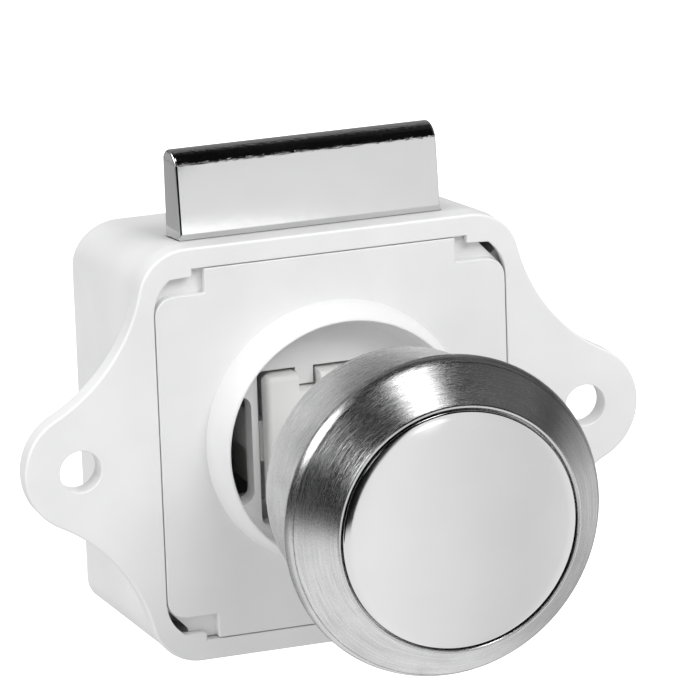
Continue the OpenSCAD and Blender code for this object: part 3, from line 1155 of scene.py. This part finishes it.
    def catches(self) -> list[Object]:
        """Build the catches across the recess's corners, which hold the cover in.

        Returns:
            The four catches.
        """
        width, height, _ = self.recess
        reach, rise = self.catch
        shape = [(-0.3, -0.3), (reach, -0.3), (reach - 0.02, rise - 0.12), (reach - 0.12, rise)]
        for angle in (math.radians(53 - 4 * step) for step in range(14)):
            shape.append((self.catch_r * (1 - math.cos(angle)), self.catch_r * (1 - math.sin(angle))))
        shape.append((-0.3, 5.2))
        out = []
        for sx in SIDES:
            for sz in SIDES:
                here = [(sx * (width / 2 - u), sz * (height / 2 - w)) for u, w in shape]
                here = here if sx * sz > 0 else list(reversed(here))
                out.append(slab("catch", here, 0, self.catch_t, 0.1))
        return out

    def innards(self) -> list[Object]:
        """Build the ribs, guides, posts and the follower's boss inside the case.

        Returns:
            The solids, each of which runs into a wall.
        """
        floor, rear, half = -self.cavity[1] / 2, self.back_y + 0.2, self.rib_t / 2
        out = []
        for side in SIDES:
            x = side * self.rib_x
            out.append(block("rib", (x - half, 8.8, floor - 0.2), (x + half, rear, 9.3)))
            out.append(block("rib", (x - half, 10.1, 9.0), (x + half, rear, -floor + 0.2)))
            (x0, x1), (y0, y1) = sorted(side * x for x in self.guide_x), self.guide_y
            out.append(block("guide", (x0, y0, floor - 0.2), (x1, y1, 15.4)))
            x, y = side * BOLT_SPRING[0], BOLT_SPRING[1]
            out.append(rod("post", (x, y, floor - 0.3), (x, y, floor + self.post_l), 1.35, 28))
        ends = (self.back_y + 0.3, self.back_y - self.post_l)
        out.append(bore("post", *KNOB_AXIS, ends, 1.9, 32))
        front, (low, high) = self.pivot_y - 3, self.boss_z
        boss = block("boss", (-self.boss_w / 2, front, low), (self.boss_w / 2, rear, high))
        cuts = [
            rod("bore", (0, self.pivot_y, -15), (0, self.pivot_y, -8), 0.65, 24),
            block("slot", (-4, front + 0.6, -14.2), (4, front + 0.96, -8)),
            block("step", (-4, front - 1, -9.7), (4, front + 0.9, -8)),
        ]
        return out + [combine(boss, cuts, Cut.TAKE)]

    def dress(self, frame: Frame, finish: Material) -> None:
        """Build the case and put it on its body.

        Args:
            frame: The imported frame.
            finish: The case's finish.
        """
        shell = combine(self.outer(), self.cutters(), Cut.TAKE)
        combine(shell, self.catches() + self.innards(), Cut.ADD)
        frame.put(smooth(shell), Body.CASE, finish, "case")


@dataclass
class CoverPlate:
    """White cover with corner cut-outs, collar, window and side openings."""

    width: float = 45.0
    height: float = 46.9
    thick: float = 2.6
    step_y: float = 1.3
    notch: Point = (6.4, 3.1)
    shoulder_r: float = 2.4
    foot: Triple = (2.8, 1.35, 4.3)
    foot_left: Triple = (1.7, 0.7, 2.7)
    collar_r: float = 16.75
    collar_h: float = 5.2
    opening_r: float = 15.2
    floor_r: float = 1.6
    window: Point = (20.0, 17.8)
    window_drop: float = 1.7
    window_r: float = 0.8
    tab_x: float = 3.9
    tab_w: float = 2.3
    tab_h: float = 2.2
    void_x: float = 10.85
    void_r: float = 14.7
    void_h: float = 13.6
    void_soft: float = 2.2
    rib_t: float = 1.2

    def mirrored(self, corner: Sequence[Point]) -> list[Point]:
        """Turn the top right corner's points, listed from side to top, into an outline."""
        half = list(corner) + [(-x, z) for x, z in reversed(corner)]
        return half + [(-x, -z) for x, z in half]

    def front_layer(self) -> Object:
        """Build the layer with the cut-outs.

        Returns:
            The layer.
        """
        x, z, r = self.width / 2, self.height / 2, self.shoulder_r
        w, h = self.notch
        inner = [(x - r, z - h, 0), (x - w, z - h, 0.25), (x - w, z, 0.2), (0, z, 0)]
        corner = arc((x - r, z - h - r), r, 0, 90) + fillet_path(inner, 3)[1:-1]
        return slab("cover_front", self.mirrored(corner), 0, self.step_y, 0.16)

    def back_layer(self) -> Object:
        """Build the layer that lies under the catches.

        Returns:
            The layer.
        """
        x, z = self.width / 2, self.height / 2
        usual, left = [
            [(x, z - rise), (x - inward, z - low), (x - inward, z)]
            for inward, low, rise in (self.foot, self.foot_left)
        ]
        shape = usual + [(-px, pz) for px, pz in reversed(left)]
        shape += [(-px, -pz) for px, pz in usual] + [(px, -pz) for px, pz in reversed(usual)]
        return slab("cover_back", shape, self.step_y - 0.02, self.thick)

    def collar(self) -> Object:
        """Build the collar with a soft foot, a round lip and a fillet to the floor.

        Returns:
            The collar.
        """
        high, radius, floor_r = self.collar_h, self.opening_r, self.floor_r
        run = self.collar_r - radius - 0.2
        bow = (run**2 + high**2) / (2 * run)
        sweep = heading(math.sqrt(bow**2 - high**2), high)
        profile = [(self.collar_r + 0.1, -0.2), (self.collar_r + 0.05, 0.0)]
        profile += arc((self.collar_r - bow, 0), bow, 4, sweep - 4, 14)
        profile += [(radius + 0.35, high - 0.12), (radius + 0.18, high - 0.02)]
        profile += [(radius + 0.08, high - 0.08), (radius, high - 0.3), (radius, floor_r)]
        profile += arc((radius - floor_r, floor_r), floor_r, 0, -86, 10)[1:]
        return turned("collar", profile + [(radius - floor_r - 0.1, -0.2)])

    def openings(self) -> list[Object]:
        """Build the solids that cut the window and the side openings.

        Returns:
            The cutters.
        """
        (w, h), r = self.window, self.window_r
        top, bottom, side = AXIS_Z + h / 2, AXIS_Z - h / 2 - self.window_drop, w / 2 - r
        x0, x1, low = self.tab_x - self.tab_w / 2, self.tab_x + self.tab_w / 2, top - self.tab_h
        tabs = [(x1, top), (x1, low), (x0, low), (x0, top)]
        shape = arc((side, top - r), r, 0, 90, 6) + tabs + [(-x, z) for x, z in reversed(tabs)]
        for x, z, start in ((-side, top - r, 90), (-side, bottom + r, 180), (side, bottom + r, 270)):
            shape += arc((x, z), r, start, start + 90, 6)
        out = [slab("window", shape, -3, self.thick + 1)]
        z0, z1 = -self.void_h / 2, self.void_h / 2
        start, end = (math.degrees(math.asin((z - AXIS_Z) / self.void_r)) for z in (z0, z1))
        x0, x1, soft = self.void_x, self.void_x + 3, self.void_soft
        corners = [(x1, z1, 0), (x0, z1, soft), (x0, z0, soft), (x1, z0, 0)]
        void = arc(KNOB_AXIS, self.void_r, start, end, 24) + fillet_path(corners, 6)[1:-1]
        for shape in ([(-x, z) for x, z in reversed(void)], void):
            out.append(slab("void", shape, -3, self.thick + 1))
        return out

    def dress(self, frame: Frame, finish: Material) -> None:
        """Build the cover and put it on its body.

        Args:
            frame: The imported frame.
            finish: The cover's finish.
        """
        plate, parts, half = self.front_layer(), [self.back_layer(), self.collar()], self.rib_t / 2
        for side in SIDES:
            x = side * BOLT_SPRING[0]
            parts.append(block("rib", (x - half, self.thick - 0.2, -21.4), (x + half, 5.4, 9.1), 0.1))
        combine(plate, parts, Cut.ADD)
        combine(plate, self.openings(), Cut.TAKE)
        plate.name = "cover_plate"
        frame.put(smooth(plate), Body.CASE, finish, "cover")


@dataclass
class PlungerUnit:
    """Plunger block with its neck and threaded insert, and the spring behind it."""

    width: float = 19.0
    waist: float = 17.6
    height: float = 17.0
    corner_r: float = 0.9
    front: float = -2.2
    back: float = 17.0
    neck_r: float = 5.95
    neck_front: float = 35.88
    neck_foot: float = 0.9
    rib_x: float = 9.85
    rib_h: float = 5.2
    slot_x: float = 3.9
    slot_w: float = 2.8
    slot_z: Point = (7.25, 10.7)
    insert_l: float = 7.0
    track_d: float = 1.6
    track_r: float = 1.0
    tip_y: float = 14.4
    swing: float = 3.0
    isle: float = 0.95
    spring_y: Point = (2.0, 27.2)
    travel: float = 9.0

    def block(self) -> Object:
        """Build the block with ribs, slots, neck, bores and the heart-shaped track.

        Returns:
            The plunger.
        """
        low, high, foot, radius = -self.rib_h / 2, self.rib_h / 2, self.neck_foot, self.neck_r
        head = rounded_box(self.width, self.height, self.corner_r, KNOB_AXIS)
        body = slab("plunger_block", head, self.front, -0.1, 0.7)
        tail = rounded_box(self.waist, self.height, self.corner_r, KNOB_AXIS)
        profile = [(0.0, -1.0), (radius + foot, -1.0), (radius + foot, -self.front - 0.05)]
        for angle in (0.2, 0.6, 1.0, math.pi / 2):
            run, depth = foot * (1 - math.cos(angle)), foot * (1 - math.sin(angle))
            profile.append((radius + depth, -self.front + run))
        end = self.neck_front
        profile += [(radius, end - 0.3), (radius - 0.3, end), (0.0, end)]
        sides = (-self.rib_x, 0.3, AXIS_Z + low), (self.rib_x, self.back - 0.1, AXIS_Z + high)
        waist = slab("waist", tail, -0.3, self.back, 0.0, 0.3)
        parts = [waist, block("rib", *sides, 0.1), turned("neck", profile, 96, pole=True)]
        combine(body, parts, Cut.ADD)
        cuts, half, (z0, z1) = [], self.slot_w / 2, self.slot_z
        for x in (-self.slot_x, self.slot_x):
            cuts.append(block("slot", (x - half, self.front - 1, z0), (x + half, 2.7, z1)))
        deep = self.insert_l - end
        cuts.append(bore("bore", *KNOB_AXIS, (2, self.back + 1), 3.4, 48))
        cuts.append(bore("insert_bore", *KNOB_AXIS, (deep + 1, -end - 1), 3.2, 48))
        cuts.append(bore("screw_room", *KNOB_AXIS, (deep + 4, deep), 2.25, 32))
        return combine(body, cuts + [self.track()], Cut.TAKE)

    def track(self) -> Object:
        """Build the cutter for the track: a heart-shaped path less its island.

        Returns:
            The cutter.
        """
        tip, far, room, isle = self.tip_y, self.tip_y - self.travel, self.track_r, self.isle
        side, seat = self.swing + room, far + 1.4
        right = [
            (self.swing, far - room), (side - 0.4, far - 0.85), (side, far - 0.4),
            (side, far + 0.6), (room, tip), (0.7, tip + 0.7),
        ]
        left = [(-x, y) for x, y in reversed(right)]
        shape = left[2:] + right + [(0, tip + room)] + left[:2]
        island = [
            (0, tip - 3.9), (isle, far + 3.4), (isle, seat + 0.3),
            (0, seat + room), (-isle, seat + 0.3), (-isle, far + 3.4),
        ]
        floor = AXIS_Z - self.height / 2
        cutter, core = [
            loft(name, [[(x, y, z) for x, y in outline] for z in (floor - below, floor + above)])
            for name, outline, below, above in (
                ("track", shape, 1, self.track_d), ("island", island, 2, 3)
            )
        ]
        return combine(cutter, [core], Cut.TAKE)

    def dress(self, frame: Frame, plastic: Material, wire: Material, brass: Material) -> None:
        """Build plunger, insert and spring, and put them on their bodies.

        Args:
            frame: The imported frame.
            plastic: The plunger's finish.
            wire: The spring's finish.
            brass: The insert's finish.
        """
        frame.put(smooth(self.block()), Body.KNOB, plastic, "plunger")
        front, rear = self.spring_y
        helix = Spring((0, rear, AXIS_Z), (math.pi / 2, 0, 0), rear - front, 2.6, 0.35, 8)
        spring = helix.wind("plunger_coil", wire)
        frame.put(spring, Body.CASE, wire, "plunger_spring")
        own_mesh(spring)
        sleeve = turned("insert_sleeve", [(2.0, 27.95), (3.0, 27.95), (3.0, 35.8), (2.0, 35.8)], 64)
        knurl = (0.42, 1.4, 0.34)
        rings = [spokes("knurl", -depth, 2.7, knurl, 28, brass) for depth in (29.6, 31.9, 34.2)]
        insert = join("brass_insert", [sleeve] + rings)
        frame.put(smooth(insert), Body.KNOB, brass, "stem_insert")


@dataclass
class BoltUnit:
    """Chrome bolt, its carriage and pins, and the two springs that lift it."""

    x: float = -0.9
    width: float = 33.6
    front: float = 4.2
    thick: float = 5.8
    foot: float = 19.2
    top: float = 36.67
    lean_z: float = 26.17
    lean: float = 0.93
    nose_r: float = 2.9
    edge: float = 0.35
    tongue_w: float = 30.6
    tongue: Point = (5.5, 8.7)
    tongue_top: float = 24.4
    pin_z: float = 21.8
    pin_r: float = 1.2
    spring_z: Point = (-22.45, 1.0)
    travel: float = 9.4

    def section(self) -> list[Point]:
        """Draw the bolt's end view in Y and Z, with its front face leaning back.

        Returns:
            The outline, counter-clockwise seen from +X.
        """
        front, back = self.front, self.front + self.thick
        middle = (front + self.lean + back) / 2
        points = [(front, self.foot), (back, self.foot), (back, self.lean_z)]
        for y, z in arc((middle, self.top - self.nose_r), self.nose_r, 0, 180, 48):
            face = front + self.lean * (z - self.lean_z) / (self.top - self.lean_z)
            if face < y < back:
                points.append((y, z))
        return points + [(front, self.lean_z)]

    def head(self) -> Object:
        """Build the bolt's head as a loft along X with rounded ends.

        Returns:
            The head.
        """
        outline, half, inner = self.section(), self.width / 2, self.tongue_w / 2
        stations = [(run - half, depth) for run, depth in bends(self.edge)]
        stations += [(-place, depth) for place, depth in reversed(stations)]
        rings = [[(self.x + x, y, z) for y, z in inset(outline, d)] for x, d in stations]
        (y0, y1), ends = self.tongue, (self.front - 1, self.front + self.thick + 1)
        low, high = (self.x - inner, y0, self.foot - 1), (self.x + inner, y1, self.tongue_top)
        cuts = [block("slot", low, high)]
        for side in SIDES:
            x = self.x + side * self.width * 0.3
            cuts.append(bore("pin_hole", x, self.pin_z, ends, self.pin_r, 40))
        return combine(loft("bolt_casting", rings), cuts, Cut.TAKE)

    def dress(
        self, frame: Frame, chrome: Material, plastic: Material, wire: Material, steel: Material
    ) -> None:
        """Build head and springs, and finish carriage and pins.

        Args:
            frame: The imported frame.
            chrome: The head's finish.
            plastic: The carriage's finish.
            wire: The springs' finish.
            steel: The pins' finish.
        """
        frame.put(smooth(self.head(), 40), Body.BOLT, chrome, "bolt_head")
        frame.paint(plastic, "bolt_carriage")
        frame.paint(steel, "bolt_pin_left", "bolt_pin_right")
        low, high = self.spring_z
        y = BOLT_SPRING[1]
        for side, name in zip(SIDES, ("left", "right")):
            x = side * BOLT_SPRING[0]
            helix = Spring((x, y, low), (0, 0, 0), high - low, 2.0, 0.3, 9)
            spring = helix.wind(f"bolt_coil_{name}", wire)
            frame.put(spring, Body.CASE, wire, f"bolt_spring_{name}")
            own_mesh(spring)


@dataclass
class KnobUnit:
    """Knob: brushed shell, hub with ribs, domed cap, screw and washer."""

    rim_r: float = 19.45
    rim_h: float = 38.4
    rim_soft: float = 2.6
    skirt_r: float = 16.4
    skirt_h: float = 21.5
    wall: float = 1.2
    flare: Triple = (31.0, 6.5, 2.7)
    cap_r: float = 14.35
    cap_gap: float = 0.22
    cone_h: float = 43.6
    web: Point = (39.8, 41.2)
    screw_r: float = 2.25
    dome: float = 0.5
    soft: float = 0.25
    hub_t: float = 2.6
    sleeve: Point = (6.0, 8.4)
    sleeve_h: Point = (22.5, 35.95)

    def shell(self) -> Object:
        """Build the shell: open skirt, flare, rim land, bevel and lip.

        Returns:
            The shell.
        """
        start, height, reach = self.flare
        skirt, open_h, rim, rim_h, cone = (
            self.skirt_r, self.skirt_h, self.rim_r, self.rim_h + 0.02, self.cone_h
        )
        inner, lip = skirt - self.wall, self.cap_r + self.cap_gap
        profile = [
            (inner, open_h + 0.2), (inner + 0.2, open_h), (skirt - 0.35, open_h),
            (skirt - 0.1, open_h + 0.1), (skirt, open_h + 0.35),
        ]
        for angle in (math.pi / 2 * step / 24 for step in range(25)):
            out, along = reach * (1 - math.cos(angle)), height * math.sin(angle)
            profile.append((skirt + 0.15 + out, start + along))
        profile += [(rim - 0.06, self.rim_h - 0.75), (rim, self.rim_h - 0.65)]
        run = Vector((lip + 0.55 - rim, cone - self.rim_h - 0.25))
        slope = math.atan2(-run.x, run.y)
        low = rim_h - self.rim_soft * math.tan(slope / 2)
        profile += arc((rim - self.rim_soft, low), self.rim_soft, 0, math.degrees(slope))
        profile += [(rim + run.x * s, rim_h + run.y * s) for s in (0.12, 0.35, 0.68, 0.97)]
        profile += [(lip + 0.46, cone - 0.07), (lip + 0.3, cone), (lip + 0.08, cone - 0.02)]
        profile += [(lip, cone - 0.12), (lip, self.web[1]), (self.screw_r, self.web[1])]
        profile += [(self.screw_r, self.web[0]), (inner, self.web[0])]
        return turned("knob_ring", profile, 256)

    def cap(self) -> Object:
        """Build the domed cap, hollow at the back.

        Returns:
            The cap.
        """
        bow = (self.cap_r**2 + self.dome**2) / (2 * self.dome)
        base, edge = self.cone_h + self.dome - bow, self.cap_r - self.soft
        radii = [edge * step / 16 for step in range(17)]
        profile = [(radius, base + math.sqrt(bow**2 - radius**2)) for radius in radii]
        height, foot, roof = profile[-1][1], self.web[1] + 0.02, self.cone_h - 0.4
        for run, depth in bends(self.soft, 15)[1:]:
            profile.append((self.cap_r - depth, height - run))
        profile += [(self.cap_r, foot), (self.cap_r - 1, foot), (self.cap_r - 1, roof), (0, roof)]
        return turned("knob_dome", profile, 256, pole=True)

    def hub(self, plastic: Material) -> Object:
        """Build the hub's turned body, with its ribs set by Geometry Nodes.

        Args:
            plastic: The hub's finish.

        Returns:
            The hub.
        """
        web, (inner, outer), (low, high) = self.web[0], self.sleeve, self.sleeve_h
        back, disc_r, bore_r = web - self.hub_t, 15.15, 2.1
        profile = [
            (bore_r, web), (disc_r, web), (disc_r, back), (outer, back), (outer, low + 0.1),
            (outer - 0.1, low), (inner + 0.1, low), (inner, low + 0.1), (inner, high), (bore_r, high),
        ]
        body = turned("knob_core", profile, 128)
        ribs = spokes("hub_ribs", -(back - 4.45), 8.0, (7.1, 9.1, 1.4), 6, plastic)
        return join("knob_core", [body, ribs])

    def dress(
        self, frame: Frame, nickel: Material, capped: Material, plastic: Material, steel: Material
    ) -> None:
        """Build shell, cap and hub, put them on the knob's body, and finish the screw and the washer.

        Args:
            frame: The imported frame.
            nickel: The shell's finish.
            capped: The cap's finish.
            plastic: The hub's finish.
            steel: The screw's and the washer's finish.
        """
        frame.put(smooth(self.shell(), 24), Body.KNOB, nickel, "knob_shell")
        frame.put(smooth(self.cap(), 24), Body.KNOB, capped, "knob_cap")
        frame.put(smooth(self.hub(plastic)), Body.KNOB, plastic, "knob_hub")
        frame.paint(steel, "knob_screw", "knob_washer")


@dataclass(frozen=True)
class Spot:
    """Soft round light on the sky, by its angles in degrees and its strength."""

    azimuth: float
    elevation: float
    outer: float
    inner: float
    strength: float

    def seen(self, x: Val, y: Val, z: Val) -> Val:
        """Return its light in a direction.

        Args:
            x: The direction's part to the right.
            y: Its part to the back.
            z: Its part upwards.

        Returns:
            The light, with none past the outer angle and all of it within the inner one.
        """
        a, e = math.radians(self.azimuth), math.radians(self.elevation)
        way = (math.sin(a) * math.cos(e), -math.cos(a) * math.cos(e), math.sin(e))
        facing = x * way[0] + y * way[1] + z * way[2]
        ends = (math.cos(math.radians(angle)) for angle in (self.outer, self.inner))
        return facing.step(*ends) * self.strength


@dataclass
class Studio:
    """White floor, soft lights, a plain surround and the camera."""

    azimuth: float = -18.735
    elevation: float = 15.838
    roll: float = -2.0
    distance: float = 0.694576
    lens: float = 291.7
    aside: Point = (1.509, 10.791)
    shift_x: float = 0.1
    floor_z: float = -90.0
    floor_half: float = 4000.0
    even: float = 0.64
    backdrop: float = 1.05
    spots: tuple[Spot, ...] = (
        Spot(8, 76, 12, 3, 5.5),
        Spot(-98, 36, 13, 10, 5.0),
        Spot(-119, 33, 14, 11, 5.0),
        Spot(-19, 16, 7, 4, 2.0),
        Spot(98, 40, 34, 12, 0.11),
        Spot(16.8, -8.6, 1.9, 0.5, 0.6),
    )

    def camera(self) -> None:
        """Set up the camera at the photograph's angle."""
        a, e, r = (math.radians(v) for v in (self.azimuth, self.elevation, self.roll))
        back = Vector((math.sin(a) * math.cos(e), -math.cos(a) * math.cos(e), math.sin(e)))
        flat = Vector((math.cos(a), math.sin(a), 0.0))
        rise = back.cross(flat)
        right, up = flat * math.cos(r) + rise * math.sin(r), rise * math.cos(r) - flat * math.sin(r)
        data = bpy.data.cameras.new("camera")
        data.sensor_width = 36.0
        data.lens = self.lens
        data.clip_start = 0.01
        data.clip_end = 20.0
        spot = back * self.distance + right * self.aside[0] * MM + up * self.aside[1] * MM
        spot.x += self.shift_x * MM
        cam = add("camera", data)
        turn = Matrix((right, up, back)).transposed().to_4x4()
        cam.matrix_world = Matrix.Translation(spot) @ turn
        bpy.context.scene.camera = cam

    def lamp(self, name: str, towards: Triple, size: float, power: float, reach: float = 0.8) -> None:
        """Add a soft square light that shines at the latch.

        Args:
            name: The light's name.
            towards: Direction from the latch to the light.
            size: Width of the square in metres.
            power: Power in watts.
            reach: Distance in metres.
        """
        data = bpy.data.lights.new(name, "AREA")
        data.shape = "SQUARE"
        data.size = size
        data.energy = power
        light = add(name, data)
        way = Vector(towards).normalized()
        light.location = way * reach
        light.rotation_mode = "QUATERNION"
        light.rotation_quaternion = way.to_track_quat("Z", "Y")
        light.visible_glossy = False
        light.visible_camera = False

    def reflected(self, x: Val, y: Val, z: Val) -> Val:
        """Return the light that reflections see in a direction.

        Args:
            x: The direction's part to the right.
            y: Its part to the back.
            z: Its part upwards.

        Returns:
            The strength: a bright floor with a soft edge, a dark sky and spots.
        """
        degrees = 180 / math.pi
        az = x.math("ARCTAN2", -y) * degrees
        el = z.math("ARCSINE") * degrees
        wide = az.math("ABSOLUTE")
        right, left = az.step(40, 80), (-az).step(46, 58)
        limit = (el + 11.1) * 0.4 + 12.5
        front = (az - limit).step(-0.25, 0.25) * (1 - right)
        start = front * 14 - right * 4 - 17
        end = left * 11.5 + front * 18.5 + right * 33.5 - 15.5
        share = ((end - el) / (end - start)).math("MINIMUM", 1.0).math("MAXIMUM", 0.0)
        lit = share * share * (3 - share * 2)
        back = wide.step(108, 126) * el.step(-50, -38)
        fade = 1 - (az - 17) * 0.022 * az.step(8, 14) * (1 - az.step(24, 32))
        floor = lit * (0.95 - back * 0.47) * fade
        sky = wide.step(130, 150) * el.step(-4, 4) * (1 - el.step(40, 60)) * 0.22 + 0.004
        light = floor + sky
        for spot in self.spots:
            light = light + spot.seen(x, y, z)
        return light

    def surround(self) -> None:
        """Build the world: white to the eye, a studio to reflections, even to the rest."""
        world = bpy.data.worlds.new("studio")
        world.use_nodes = True
        bpy.context.scene.world = world
        tree = Tree(world.node_tree)
        coords = tree.node("ShaderNodeTexCoord").outputs["Generated"]
        studio = self.reflected(*tree.split(coords))
        path = tree.node("ShaderNodeLightPath").outputs
        glossy, eye = (Val(tree, path[name]) for name in ("Is Glossy Ray", "Is Camera Ray"))
        strength = glossy * studio + (1 - glossy) * self.even
        strength = eye * self.backdrop + (1 - eye) * strength
        inputs = {"Color": (1, 1, 1, 1), "Strength": strength}
        tree.node("ShaderNodeOutputWorld", {"Surface": tree.node("ShaderNodeBackground", inputs)})

    def ground(self) -> None:
        """Lay the pale floor, which only the camera sees."""
        half = self.floor_half
        corners = [(-half, -half), (half, -half), (half, half), (-half, half)]
        floor = make("floor", [(x, y, self.floor_z) for x, y in corners], [(0, 1, 2, 3)])
        skin = Skin("pale_floor")
        mask = skin.noise(skin.place(), 0.004).step(0.3, 0.7)
        finish = skin.surface(
            Base_Color=skin.tint((0.93, 0.93, 0.93), (0.96, 0.96, 0.96), mask),
            Roughness=0.9,
            Emission_Color=(1, 1, 1, 1),
            Emission_Strength=0.75,
        )
        floor.data.materials.append(finish)
        floor.visible_glossy = False
        floor.visible_diffuse = False

    def build(self) -> None:
        """Build floor, surround, lights and camera."""
        bpy.context.scene.view_settings.view_transform = "Standard"
        self.ground()
        self.surround()
        self.lamp("key", (0.3, -0.8, 0.75), 0.35, 2.85)
        self.lamp("side", (-0.95, -0.25, 0.25), 0.5, 2.4)
        self.lamp("top", (0.0, -0.1, 1.0), 0.5, 1.2)
        self.camera()


def main() -> None:
    """Build the studio and every sub-assembly in order."""
    logging.basicConfig(level=logging.INFO, format="%(name)s: %(message)s")
    frame = Frame(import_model())
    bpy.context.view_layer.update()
    Studio().build()
    case_white = MouldedPlastic("case_white").material()
    cover_white = MouldedPlastic("cover_white", (0.84, 0.84, 0.84), (0.79, 0.79, 0.795), 0.4)
    slide_white = MouldedPlastic("slide_white", (0.83, 0.83, 0.82), (0.78, 0.78, 0.77), 0.42)
    cover_white, slide_white = cover_white.material(), slide_white.material()
    nickel = BrushedNickel("brushed_nickel").material()
    capped = Plating("cap_chrome", (0.77, 0.77, 0.77), (0.74, 0.74, 0.74), 0.06, 0.0015, 0.25)
    chrome = Plating(
        "bolt_chrome", (0.76, 0.76, 0.76), (0.72, 0.72, 0.725), 0.07, 0.006, 0.5, 35.05
    )
    capped, chrome = capped.material(), chrome.material()
    wire = DrawnWire("spring_wire").material()
    zinc = DrawnWire("zinc_steel", (0.72, 0.73, 0.76), (0.52, 0.53, 0.56), 0.32).material()
    brass = DrawnWire("turned_brass", (0.83, 0.66, 0.36), (0.62, 0.45, 0.2), 0.3).material()
    CaseShell().dress(frame, case_white)
    CoverPlate().dress(frame, cover_white)
    PlungerUnit().dress(frame, slide_white, wire, brass)
    BoltUnit().dress(frame, chrome, slide_white, wire, zinc)
    KnobUnit().dress(frame, nickel, capped, slide_white, zinc)
    frame.paint(wire, "cam_follower", "follower_leaf")


if __name__ == "__main__":
    main()
